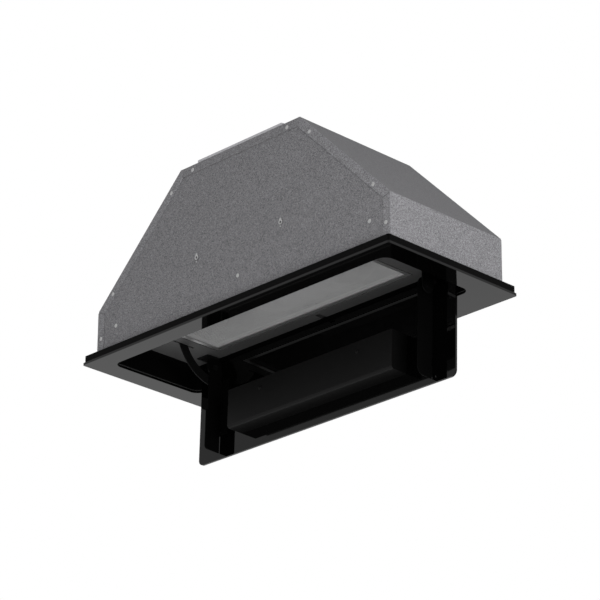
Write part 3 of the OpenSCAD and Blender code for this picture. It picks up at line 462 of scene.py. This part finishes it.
@dataclass(frozen=True)
class BrightSteel:
    """Bare or plated steel with a drawn grain along one axis."""

    name: str
    level: float = 0.5
    roughness: float = 0.3
    metal: float = 0.9
    along: Triple = (0.05, 1.0, 1.0)
    line: float = 0.5 * MM
    cloud: float = 25 * MM
    depth: float = 0.004 * MM
    line_share: float = 0.6
    dark_share: float = 0.78
    bright_share: float = 1.15
    wear: float = 0.12
    polish: float = 0.08

    def material(self) -> bpy.types.Material:
        """Builds plated metal with fine lines of wear along its grain.

        Returns:
            The material.
        """
        tree = ShaderTree(self.name)
        lines = tree.noise(self.line, 2.0, self.along)
        cloud = tree.noise(self.cloud, 2.0)
        tone = lines * self.line_share + cloud * (1 - self.line_share)
        tree.bump(lines, self.depth)
        dark, bright = grey(self.level * self.dark_share), grey(self.level * self.bright_share)
        return tree.finish(Base_Color=tone.tint(dark, bright),
                           Roughness=tone.spread(self.roughness + self.wear, self.roughness - self.polish),
                           Metallic=self.metal)


@dataclass(frozen=True)
class Moulded:
    """Moulded plastic or rubber with a fine eroded texture."""

    name: str
    level: float
    roughness: float = 0.5
    grain: float = 0.7 * MM
    depth: float = 0.03 * MM
    warmth: float = 0.0
    cloud: float = 30 * MM
    variation: float = 0.1
    unevenness: float = 0.08

    def material(self) -> bpy.types.Material:
        """Builds the texture that the mould leaves.

        Returns:
            The material.
        """
        tree = ShaderTree(self.name)
        grain = tree.noise(self.grain, 2.0)
        cloud = tree.noise(self.cloud, 2.0)
        tree.bump(grain, self.depth)
        low, high = self.level * (1 - self.variation), self.level * (1 + self.variation)
        return tree.finish(Base_Color=cloud.tint(grey(low, self.warmth), grey(high, self.warmth)),
                           Roughness=grain.spread(self.roughness - self.unevenness,
                                                  self.roughness + self.unevenness))


@dataclass(frozen=True)
class Lamp:
    """Opal diffuser of the strip lamp, unlit."""

    level: float = 0.8
    warmth: float = 0.02
    cloud: float = 12 * MM
    dull_share: float = 0.94
    glossy: float = 0.3
    satin: float = 0.42

    def material(self) -> bpy.types.Material:
        """Builds milky plastic with a soft gloss.

        Returns:
            The material.
        """
        tree = ShaderTree("opal diffuser")
        cloud = tree.noise(self.cloud, 2.0)
        dull, bright = grey(self.level * self.dull_share, self.warmth), grey(self.level, self.warmth)
        return tree.finish(Base_Color=cloud.tint(dull, bright),
                           Roughness=cloud.spread(self.glossy, self.satin))


class Finishes:
    """Builds each finish once and hands out its material."""

    def __init__(self) -> None:
        """Lists the finish of every slot, and of the nodes with a finish of their own, among them lighter and
        darker copies of one sheet or paint that are painted light and painted shade.
        """
        self._makers: dict[Slot, Finish] = {
            Slot.FRAME_GLASS: Glass(),
            Slot.FOAM: Moulded("foam tape", level=0.02, roughness=0.85, grain=1.4 * MM, depth=0.15 * MM),
            Slot.BLACK_STEEL: PowderCoat(sheen=0.1),
            Slot.GALVANISED: Galvanised(),
            Slot.RECESS_GREY: PowderCoat("recess grey paint", level=0.052, roughness=0.5, sheen=0.2),
            Slot.RIVET_STEEL: BrightSteel("rivet steel", level=0.42, roughness=0.35),
            Slot.FILTER_STEEL: BrightSteel("filter steel", level=0.47, roughness=0.32, metal=0.85),
            Slot.BLACK_PLASTIC: Moulded("black moulding", level=0.025),
            Slot.MOTOR_GREY: PowderCoat("motor paint", level=0.12, roughness=0.5),
            Slot.SHAFT_STEEL: BrightSteel("ground shaft", level=0.65, roughness=0.22),
            Slot.LAMP_WHITE: Lamp(),
            Slot.WHITE_PLASTIC: Moulded("white moulding", level=0.75, roughness=0.35),
            Slot.ZINC: BrightSteel("zinc plate", level=0.45, roughness=0.38),
        }
        # The pan, the liner and the arms take the black powder coat set darker (0.0015 for 0.003) and duller:
        # painted shade.
        dull = PowderCoat("dull powder coat painted darker", level=0.0015, sheen=0.02)
        # The end panels take the same galvanised sheet set lighter (0.205 for 0.165) and with less sheen:
        # painted light. Above 80 mm their slope is plain and painted darker, as painted shade.
        end_sheet_painted_lighter = Galvanised("galvanised end sheet painted lighter", level=0.205, sheen=0.05, plain_above=80 * MM)
        self._special: dict[str, Finish] = {
            "flap_glass": Glass("flap glass", sheen=0.16),
            # The outlet plate takes the galvanised sheet set far lighter (0.42 for 0.165): painted light
            # inside the dark casing.
            "outlet_plate": Galvanised("outlet sheet painted light", level=0.42, contrast=0.3),
            "left_end_panel": end_sheet_painted_lighter,
            "right_end_panel": end_sheet_painted_lighter,
            "frame_pan": dull,
            "recess_liner": dull,
            "left_arm": dull,
            "right_arm": dull,
        }
        self._made: dict[Finish, bpy.types.Material] = {}

    def of(self, slot: Slot, node: str = "") -> bpy.types.Material:
        """Looks up a material and builds it at its first use.

        Args:
            slot: The slot whose finish it is.
            node: A node that may have a look of its own.

        Returns:
            The material.
        """
        maker = self._special.get(node, self._makers[slot])
        if maker not in self._made:
            self._made[maker] = maker.material()
        return self._made[maker]

    def dress(self, piece: bpy.types.Object, slot: Slot, node: str = "") -> None:
        """Gives a piece its one material.

        Args:
            piece: The object to dress.
            slot: The slot whose finish it takes.
            node: The node that it stands for.
        """
        piece.data.materials.clear()
        piece.data.materials.append(self.of(slot, node))
        for face in piece.data.polygons:
            face.material_index = 0


class Bench:
    """Modelling steps made with Blender's operators, one piece at a time."""

    weld: float = 0.001 * MM
    flat_degrees: float = 0.5
    sharp_degrees: float = 32.0

    @staticmethod
    def pick(*pieces: bpy.types.Object) -> None:
        """Selects only some pieces.

        Args:
            *pieces: The pieces, of which the first becomes active.
        """
        bpy.ops.object.select_all(action="DESELECT")
        for piece in pieces:
            piece.select_set(True)
        bpy.context.view_layer.objects.active = pieces[0]

    @staticmethod
    @contextmanager
    def editing(piece: bpy.types.Object, everything: bool = False) -> Iterator[None]:
        """Opens a piece in edit mode.

        Args:
            piece: The piece to shape.
            everything: Whether all of it starts selected, or none.

        Yields:
            Nothing. Edit mode ends with the block.
        """
        Bench.pick(piece)
        bpy.ops.object.mode_set(mode="EDIT")
        bpy.ops.mesh.select_mode(type="FACE")
        bpy.ops.mesh.select_all(action="SELECT" if everything else "DESELECT")
        yield
        bpy.ops.object.mode_set(mode="OBJECT")

    @staticmethod
    def choose(test: Callable[[bmesh.types.BMFace], bool]) -> None:
        """Selects faces of the piece that is open in edit mode.

        Args:
            test: Tells for each face whether it is selected.
        """
        mesh = bpy.context.object.data
        shape = bmesh.from_edit_mesh(mesh)
        for face in shape.faces:
            face.select_set(test(face))
        shape.select_flush_mode()
        bmesh.update_edit_mesh(mesh)

    @staticmethod
    def faces_up(face: bmesh.types.BMFace) -> bool:
        """Tells whether a face lies level and looks up."""
        return face.normal.z > 0.99

    @staticmethod
    def modify(piece: bpy.types.Object, kind: str, **settings: object) -> None:
        """Adds a modifier, sets it and applies it.

        Args:
            piece: The piece to change.
            kind: The modifier's type.
            **settings: Its properties by name.
        """
        Bench.pick(piece)
        modifier = piece.modifiers.new(kind.title(), kind)
        for key, value in settings.items():
            setattr(modifier, key, value)
        bpy.ops.object.modifier_apply(modifier=modifier.name)

    @staticmethod
    def smooth(piece: bpy.types.Object, degrees: float = 35.0) -> None:
        """Shades a piece smooth where its edges fold less than an angle."""
        Bench.pick(piece)
        bpy.ops.object.shade_smooth_by_angle(angle=math.radians(degrees))

    @staticmethod
    def bevel(piece: bpy.types.Object, width: float, segments: int = 2) -> None:
        """Rounds the sharp edges of a piece.

        Args:
            piece: The piece to round.
            width: The width of the rounding in metres.
            segments: How many faces it has.
        """
        Bench.modify(piece, "BEVEL", width=width, segments=segments, limit_method="ANGLE",
                     angle_limit=math.radians(Bench.sharp_degrees), use_clamp_overlap=True,
                     miter_outer="MITER_ARC")
        Bench.smooth(piece)
        Bench.modify(piece, "WEIGHTED_NORMAL", mode="FACE_AREA", weight=50, keep_sharp=True)

    @staticmethod
    def settle(piece: bpy.types.Object) -> None:
        """Moves a piece's place into its mesh, so that its object sits at the origin."""
        Bench.pick(piece)
        bpy.ops.object.transform_apply(location=True, rotation=True, scale=True)

    @staticmethod
    def merged_copy(node: str, name: str) -> bpy.types.Object:
        """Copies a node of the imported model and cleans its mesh.

        Args:
            node: The node to copy.
            name: The new piece's name.

        Returns:
            The new piece.
        """
        piece = bpy.data.objects.new(name, frame["nodes"][node].data.copy())
        bpy.context.scene.collection.objects.link(piece)
        with Bench.editing(piece, everything=True):
            bpy.ops.mesh.remove_doubles(threshold=Bench.weld)
            bpy.ops.mesh.dissolve_limited(angle_limit=math.radians(Bench.flat_degrees))
            bpy.ops.mesh.quads_convert_to_tris(ngon_method="BEAUTY")
        return piece

    @staticmethod
    def solids(node: str) -> list[tuple[Vector, Vector]]:
        """Finds the separate solids of a node.

        Args:
            node: The node to take apart.

        Returns:
            The lowest and highest corner of each solid.
        """
        Bench.pick(Bench.merged_copy(node, node + "_apart"))
        with Bench.editing(bpy.context.object, everything=True):
            bpy.ops.mesh.separate(type="LOOSE")
        boxes = []
        for part in list(bpy.context.selected_objects):
            places = [vertex.co for vertex in part.data.vertices]
            low = Vector([min(place[axis] for place in places) for axis in range(3)])
            high = Vector([max(place[axis] for place in places) for axis in range(3)])
            boxes.append((low, high))
            bpy.data.objects.remove(part)
        return boxes

    @staticmethod
    def scatter(pattern: bpy.types.Object, places: Iterable[Matrix], name: str) -> bpy.types.Object:
        """Copies a finished pattern to several places and joins the copies.

        Args:
            pattern: The piece at the origin, which is used up.
            places: Where each copy goes.
            name: The joined piece's name.

        Returns:
            The joined piece.
        """
        copies = []
        for place in places:
            copy = bpy.data.objects.new(name, pattern.data.copy())
            bpy.context.scene.collection.objects.link(copy)
            copy.data.transform(place)
            copies.append(copy)
        bpy.data.objects.remove(pattern)
        Bench.pick(*copies)
        bpy.ops.object.join()
        joined = bpy.context.object
        joined.name = name
        return joined


class Workshop:
    """Hands finished pieces to the frame and reports them."""

    def __init__(self, finishes: Finishes) -> None:
        """Starts with no piece made.

        Args:
            finishes: The finishes that the pieces take.
        """
        self.finishes = finishes
        self.count = 0

    def hand_in(self, piece: bpy.types.Object, body: Body, slot: Slot, *nodes: str) -> bpy.types.Object:
        """Dresses a new piece and lets it ride on its body.

        Args:
            piece: The finished piece.
            body: The body that it moves with.
            slot: The slot of its finish.
            *nodes: The nodes that it stands for.

        Returns:
            The piece.
        """
        self.finishes.dress(piece, slot, *nodes[:1])
        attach(piece, body.value)
        if nodes:
            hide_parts(*nodes)
        self.count += 1
        LOG.info("%s rides on %s, %d faces", piece.name, body.value, len(piece.data.polygons))
        return piece

    def round_off(self, node: str, name: str, width: float, segments: int = 2) -> None:
        """Replaces a node by a copy with rounded edges.

        Args:
            node: The node to replace.
            name: The new piece's name.
            width: The width of the rounding in metres.
            segments: How many faces it has.
        """
        piece = Bench.merged_copy(node, name)
        Bench.bevel(piece, width, segments)
        self.hand_in(piece, self.body_of(node), self.slot_of(node), node)

    def repaint(self, *nodes: str) -> None:
        """Gives nodes that keep their shape the finish of their slot.

        Args:
            *nodes: The nodes to dress.
        """
        for node in nodes:
            self.finishes.dress(frame["nodes"][node], self.slot_of(node))
            LOG.info("%s keeps its shape", node)

    @staticmethod
    def body_of(node: str) -> Body:
        """Returns the body that a node belongs to."""
        bodies = frame["record"]["behaviour"]["bodies"]
        return next(body for body in Body if node in bodies[body.value])

    @staticmethod
    def slot_of(node: str) -> Slot:
        """Returns the record's slot of a node."""
        subparts = frame["record"]["subparts"]
        return Slot(next(part["material_slot"] for part in subparts if part["node"] == node))


@dataclass
class Fasteners:
    """Rivets and screws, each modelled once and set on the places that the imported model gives."""

    shop: Workshop
    sides: int = 24
    skirt_share: float = 0.35
    rivet_shares: tuple[float, ...] = (0.86, 0.66, 0.46)
    hollow_reach_share: float = 0.11
    hollow_lip_share: float = 0.08
    hollow_depth_share: float = 0.45
    mandrel_lip_share: float = 0.1
    mandrel_height_share: float = 0.2
    screw_shares: tuple[float, ...] = (0.9, 0.7, 0.4)
    screw_height_share: float = 0.45
    recess_share: float = 0.6
    recess_width_share: float = 0.2

    def build(self) -> None:
        """Builds all the visible fasteners."""
        self.rivets("near_rivets", -1)
        self.rivets("far_rivets", 1)
        self.screws("box_screws", "Y", Body.FLAP)
        self.screws("bracket_screws", "Z", Body.ROOT)

    def dome(self, radius: float, height: float, rings: tuple[float, ...]) -> bpy.types.Object:
        """Models a domed head that stands on the ground plane.

        Args:
            radius: Its outer radius.
            height: Its height.
            rings: The radii of its upper rings, as shares of the outer one.

        Returns:
            The head, pointing up.
        """
        bpy.ops.object.select_all(action="DESELECT")
        skirt = height * self.skirt_share
        bpy.ops.mesh.primitive_cylinder_add(vertices=self.sides, radius=radius, depth=skirt,
                                            location=(0, 0, skirt / 2))
        head = bpy.context.object
        Bench.settle(head)
        with Bench.editing(head):
            Bench.choose(Bench.faces_up)
            previous, level = 1.0, skirt
            for share in rings:
                bpy.ops.mesh.inset(thickness=radius * (previous - share))
                rise = skirt + (height - skirt) * math.sqrt(1 - share ** 2) - level
                bpy.ops.transform.translate(value=(0, 0, rise))
                previous, level = share, level + rise
        return head

    def rivets(self, node: str, side: int) -> None:
        """Models a blind rivet with the hollow that its mandrel leaves, and sets it on each place.

        Args:
            node: The node that gives the places.
            side: 1 where the heads point along +Y, and -1 along -Y.
        """
        boxes = Bench.solids(node)
        low, high = boxes[0]
        radius, height = (high.x - low.x) / 2, high.y - low.y
        head = self.dome(radius, height, self.rivet_shares)
        with Bench.editing(head):
            reach = radius * self.hollow_reach_share
            Bench.choose(lambda face: Bench.faces_up(face) and face.calc_center_median().xy.length < reach)
            bpy.ops.mesh.inset(thickness=radius * self.hollow_lip_share)
            bpy.ops.transform.translate(value=(0, 0, -height * self.hollow_depth_share))
            bpy.ops.mesh.inset(thickness=radius * self.mandrel_lip_share)
            bpy.ops.transform.translate(value=(0, 0, height * self.mandrel_height_share))
        Bench.smooth(head, 50)
        turn = Matrix.Rotation(math.radians(-90 * side), 4, "X")
        places = [Matrix.Translation(((a.x + b.x) / 2, a.y if side > 0 else b.y, (a.z + b.z) / 2)) @ turn
                  for a, b in boxes]
        self.shop.hand_in(Bench.scatter(head, places, node + "_domed"), Body.ROOT, Slot.RIVET_STEEL, node)

    def screws(self, node: str, axis: str, body: Body) -> None:
        """Models a pan head with a cross recess and sets it on each place.

        Args:
            node: The node that gives the places.
            axis: The axis that the heads point against.
            body: The body that the screws move with.
        """
        boxes = Bench.solids(node)
        low, high = boxes[0]
        radius = (high.x - low.x) / 2
        height = radius * self.screw_height_share
        head = self.dome(radius, height, self.screw_shares)
        slot = radius * self.recess_width_share
        reach = radius * self.recess_share
        for turn in (0, 90):
            bpy.ops.object.select_all(action="DESELECT")
            bpy.ops.mesh.primitive_cube_add(size=1, location=(0, 0, height), scale=(2 * reach, slot, height),
                                            rotation=(0, 0, math.radians(turn)))
            blade = bpy.context.object
            Bench.settle(blade)
            Bench.modify(head, "BOOLEAN", object=blade, operation="DIFFERENCE", solver="EXACT")
            bpy.data.objects.remove(blade)
        Bench.smooth(head, 40)
        turn = Matrix.Rotation(math.radians(90), 4, "X") if axis == "Y" else Matrix.Rotation(math.pi, 4, "X")
        lean = Matrix.Rotation(-math.radians(Flap.lean_degrees), 4, "X") if body is Body.FLAP else Matrix()
        places = []
        for a, b in boxes:
            middle = (a + b) / 2
            sideways = Vector((middle.x, a.y + height, b.z - radius))
            upwards = Vector((middle.x, middle.y, b.z))
            places.append(Matrix.Translation(sideways if axis == "Y" else upwards) @ lean @ turn)
        self.shop.hand_in(Bench.scatter(head, places, node + "_crossed"), body, self.shop.slot_of(node), node)


@dataclass
class GlassFrame:
    """The glass frame with its foam tape and the folded pan."""

    shop: Workshop
    arris: float = 0.45 * MM
    fold: float = 0.5 * MM

    def build(self) -> None:
        """Builds the frame's pieces."""
        self.shop.round_off("glass_frame", "frame_glass_polished", self.arris, 2)
        self.shop.round_off("frame_pan", "pan_folded", self.fold, 3)
        self.shop.repaint("foam_tape", "cabinet_nuts", "sealing_strips")


@dataclass
class Casing:
    """The galvanised casing, its folded panels and what is riveted to it."""

    shop: Workshop
    fold: float = 0.4 * MM
    stamped_edge: float = 0.2 * MM

    def build(self) -> None:
        """Builds the casing's pieces."""
        for node in ("near_panel", "far_panel", "top_plate", "left_end_panel", "right_end_panel"):
            self.shop.round_off(node, node + "_folded", self.fold)
        self.shop.round_off("hanging_plates", "hanging_plates_stamped", self.stamped_edge)


@dataclass
class Recess:
    """The recess above the glass: liner, ceiling and what hangs in it."""

    shop: Workshop
    fold: float = 0.3 * MM

    def build(self) -> None:
        """Builds the recess's pieces."""
        for node in ("recess_liner", "ceiling_plate", "left_hinge_bracket", "right_hinge_bracket",
                     "left_hinge_pin", "right_hinge_pin", "filter_catch", "light_housing"):
            self.shop.round_off(node, node + "_edged", self.fold)
        self.shop.repaint("light_diffuser", "closing_buffers")


@dataclass
class GreaseFilter:
    """The grease filter: a folded border round a sheet of expanded steel."""

    shop: Workshop
    long_way: float = 4.0 * MM
    short_way: float = 2.8 * MM
    strand: float = 0.6 * MM
    sheet: float = 0.6 * MM
    border_fold: float = 0.4 * MM

    def build(self) -> None:
        """Builds the filter's border and mesh."""
        self.shop.round_off("filter_frame", "filter_border", self.border_fold, 3)
        self.shop.hand_in(self.mesh(), Body.ROOT, Slot.FILTER_STEEL, "filter_mesh")

    def mesh(self) -> bpy.types.Object:
        """Models the expanded mesh: a turned and stretched grid, trimmed, whose edges become strands.

        Returns:
            The mesh at the place of its node.
        """
        low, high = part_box("filter_mesh")
        middle = (low + high) / 2
        across = (high.x - low.x) / self.long_way + (high.y - low.y) / self.short_way
        count = 2 * math.ceil(across / 2) + 2
        diagonal = math.sqrt(2)
        bpy.ops.object.select_all(action="DESELECT")
        bpy.ops.mesh.primitive_grid_add(x_subdivisions=count, y_subdivisions=count, size=count / diagonal,
                                        location=(0, 0, 0))
        sheet = bpy.context.object
        sheet.name = "filter_expanded_mesh"
        centre = (0.0, 0.0, 0.0)
        with Bench.editing(sheet, everything=True):
            bpy.ops.transform.rotate(value=math.radians(45), orient_axis="Z", center_override=centre)
            bpy.ops.transform.resize(value=(self.long_way, self.short_way, 1), center_override=centre)
            bpy.ops.transform.translate(value=middle)
            for corner, axis, sign in ((low, 0, -1), (high, 0, 1), (low, 1, -1), (high, 1, 1)):
                normal = Vector([sign if index == axis else 0 for index in range(3)])
                bpy.ops.mesh.select_all(action="SELECT")
                bpy.ops.mesh.bisect(plane_co=corner, plane_no=normal, clear_outer=True)
        Bench.modify(sheet, "WIREFRAME", thickness=self.strand, use_even_offset=False, use_boundary=True)
        with Bench.editing(sheet, everything=True):
            bpy.ops.transform.resize(value=(1, 1, self.sheet / self.strand), center_override=middle)
        return sheet


@dataclass
class Blower:
    """The scroll housing, the double-inlet impeller and its motor."""

    shop: Workshop
    edge: float = 0.25 * MM

    def build(self) -> None:
        """Builds the blower's pieces."""
        for node in ("scroll_band", "left_scroll_cheek", "right_scroll_cheek", "motor", "motor_bracket",
                     "capacitor", "motor_shaft"):
            self.shop.round_off(node, node + "_edged", self.edge)
        self.shop.repaint("left_inlet_ring", "right_inlet_ring", "impeller")


@dataclass
class Flap:
    """The flap: its glass, the box on it and the two arms."""

    shop: Workshop
    lean_degrees: float = field(default=1.4, init=False)
    arris: float = 0.5 * MM
    fold: float = 0.35 * MM
    box_fold: float = 0.8 * MM

    def build(self) -> None:
        """Builds the flap's pieces."""
        self.shop.round_off("flap_glass", "flap_glass_polished", self.arris, 2)
        for node in ("left_arm", "right_arm", "box_rail"):
            self.shop.round_off(node, node + "_edged", self.fold)
        self.shop.round_off("flap_box", "flap_box_folded", self.box_fold, 3)


@dataclass
class FlapDrive:
    """The geared motor, its crank and the curved lever."""

    shop: Workshop
    edge: float = 0.3 * MM

    def build(self) -> None:
        """Builds the drive's pieces."""
        for node in ("drive_bracket", "gear_motor", "drive_crank", "curved_lever"):
            self.shop.round_off(node, node + "_edged", self.edge)


@dataclass
class Outlet:
    """The outlet plate, the duct collar and the two damper leaves in it."""

    shop: Workshop
    edge: float = 0.3 * MM

    def build(self) -> None:
        """Builds the outlet's pieces."""
        for node in ("outlet_plate", "duct_collar", "near_damper", "far_damper"):
            self.shop.round_off(node, node + "_edged", self.edge)
        self.shop.repaint("damper_pin")


@dataclass
class Electrics:
    """The control box and the inlet of the mains lead."""

    shop: Workshop
    edge: float = 0.8 * MM

    def build(self) -> None:
        """Builds the electrical pieces."""
        for node in ("control_box", "control_lid", "cable_gland"):
            self.shop.round_off(node, node + "_edged", self.edge)


@dataclass(frozen=True)
class SoftLamp:
    """A square lamp that faces the hood: its name, place, the length of its side and its power."""

    name: str
    place: Triple
    side: float
    watts: float


@dataclass
class Studio:
    """Camera, lamps, world and floor."""

    azimuth: float = 45.65
    elevation: float = -23.25
    roll: float = 0.334
    distance: float = 4.869
    lens: float = 182.24
    aim: Vector = field(default_factory=lambda: Vector((16.9, -3.1, 33.3)) * MM)
    sensor: float = 36.0
    sight: float = 40.0
    floor_depth: float = 2.4
    floor_size: float = 14.0
    floor_level: float = 0.8
    floor_roughness: float = 0.9
    ambient: float = 0.45
    lamps: tuple[SoftLamp, ...] = (
        SoftLamp("key", (2.6, -0.9, -0.5), 1.4, 60.0),
        SoftLamp("top", (0.4, -0.6, 2.8), 2.0, 3.0),
        SoftLamp("low", (0.2, -1.6, -1.1), 1.2, 8.0),
        SoftLamp("under", (0.1, 0.2, -2.1), 1.0, 8.0),
        SoftLamp("fill", (-2.2, 1.9, 0.9), 1.8, 34.0),
    )

    def build(self) -> None:
        """Builds the whole studio."""
        self.camera()
        self.world()
        self.floor()
        for lamp in self.lamps:
            self.hang(lamp)
        bpy.context.scene.view_settings.view_transform = "Standard"

    def camera(self) -> None:
        """Sets the camera at the photograph's viewing angle."""
        turn, tilt = math.radians(self.azimuth), math.radians(self.elevation)
        back = Vector((math.sin(turn) * math.cos(tilt), -math.cos(turn) * math.cos(tilt), math.sin(tilt)))
        data = bpy.data.cameras.new("camera")
        data.lens = self.lens
        data.sensor_width = self.sensor
        data.clip_end = self.sight
        camera = bpy.data.objects.new("camera", data)
        bpy.context.scene.collection.objects.link(camera)
        camera.location = self.aim + back * self.distance
        camera.rotation_mode = "QUATERNION"
        level = back.to_track_quat("Z", "Y")
        camera.rotation_quaternion = level @ Quaternion((0, 0, 1), math.radians(self.roll))
        bpy.context.scene.camera = camera

    def seen_directly(self, nodes: bpy.types.Nodes, links: bpy.types.NodeLinks) -> bpy.types.NodeSocket:
        """Adds a mask of the rays that see the background itself.

        Args:
            nodes: The tree's nodes.
            links: Its links.

        Returns:
            A socket that is 1 for camera, glossy and transmission rays.
        """
        path = nodes.new("ShaderNodeLightPath")
        mask = path.outputs["Is Camera Ray"]
        for name in ("Is Glossy Ray", "Is Transmission Ray"):
            either = nodes.new("ShaderNodeMath")
            either.operation = "MAXIMUM"
            links.new(mask, either.inputs[0])
            links.new(path.outputs[name], either.inputs[1])
            mask = either.outputs[0]
        return mask

    def world(self) -> None:
        """Lights the room softly and shows it white."""
        world = bpy.data.worlds.new("studio")
        world.use_nodes = True
        bpy.context.scene.world = world
        nodes, links = world.node_tree.nodes, world.node_tree.links
        soft = nodes["Background"]
        soft.inputs["Color"].default_value = (1, 1, 1, 1)
        soft.inputs["Strength"].default_value = self.ambient
        white = nodes.new("ShaderNodeBackground")
        white.inputs["Color"].default_value = (1, 1, 1, 1)
        white.inputs["Strength"].default_value = 1.0
        mix = nodes.new("ShaderNodeMixShader")
        links.new(self.seen_directly(nodes, links), mix.inputs[0])
        links.new(soft.outputs[0], mix.inputs[1])
        links.new(white.outputs[0], mix.inputs[2])
        links.new(mix.outputs[0], nodes["World Output"].inputs["Surface"])

    def floor(self) -> None:
        """Lays a pale floor well below the hood."""
        bpy.ops.object.select_all(action="DESELECT")
        bpy.ops.mesh.primitive_plane_add(size=self.floor_size, location=(0, 0, -self.floor_depth))
        floor = bpy.context.object
        floor.name = "floor"
        material = bpy.data.materials.new("pale floor")
        material.use_nodes = True
        nodes, links = material.node_tree.nodes, material.node_tree.links
        pale = nodes["Principled BSDF"]
        pale.inputs["Base Color"].default_value = (*grey(self.floor_level), 1)
        pale.inputs["Roughness"].default_value = self.floor_roughness
        glow = nodes.new("ShaderNodeEmission")
        mix = nodes.new("ShaderNodeMixShader")
        links.new(self.seen_directly(nodes, links), mix.inputs[0])
        links.new(pale.outputs[0], mix.inputs[1])
        links.new(glow.outputs[0], mix.inputs[2])
        underside = nodes.new("ShaderNodeMixShader")
        links.new(nodes.new("ShaderNodeNewGeometry").outputs["Backfacing"], underside.inputs[0])
        links.new(mix.outputs[0], underside.inputs[1])
        links.new(nodes.new("ShaderNodeBsdfTransparent").outputs[0], underside.inputs[2])
        links.new(underside.outputs[0], nodes["Material Output"].inputs["Surface"])
        floor.data.materials.append(material)

    def hang(self, soft: SoftLamp) -> None:
        """Hangs a lamp that no glossy surface mirrors.

        Args:
            soft: The lamp's sizes.
        """
        data = bpy.data.lights.new(soft.name, "AREA")
        data.size = soft.side
        data.energy = soft.watts
        lamp = bpy.data.objects.new(soft.name, data)
        bpy.context.scene.collection.objects.link(lamp)
        lamp.location = soft.place
        lamp.rotation_mode = "QUATERNION"
        lamp.rotation_quaternion = (Vector(soft.place) - self.aim).to_track_quat("Z", "Y")
        lamp.visible_glossy = False


def main() -> None:
    """Builds the hood piece by piece and the studio round it."""
    logging.basicConfig(level=logging.INFO, format="%(name)s: %(message)s", stream=sys.stdout)
    Studio().build()
    shop = Workshop(Finishes())
    for assembly in (GlassFrame, Casing, Recess, GreaseFilter, Blower, Flap, FlapDrive, Outlet, Electrics,
                     Fasteners):
        LOG.info("building %s", assembly.__name__)
        assembly(shop).build()
    LOG.info("%d new pieces", shop.count)


if __name__ == "__main__":
    main()
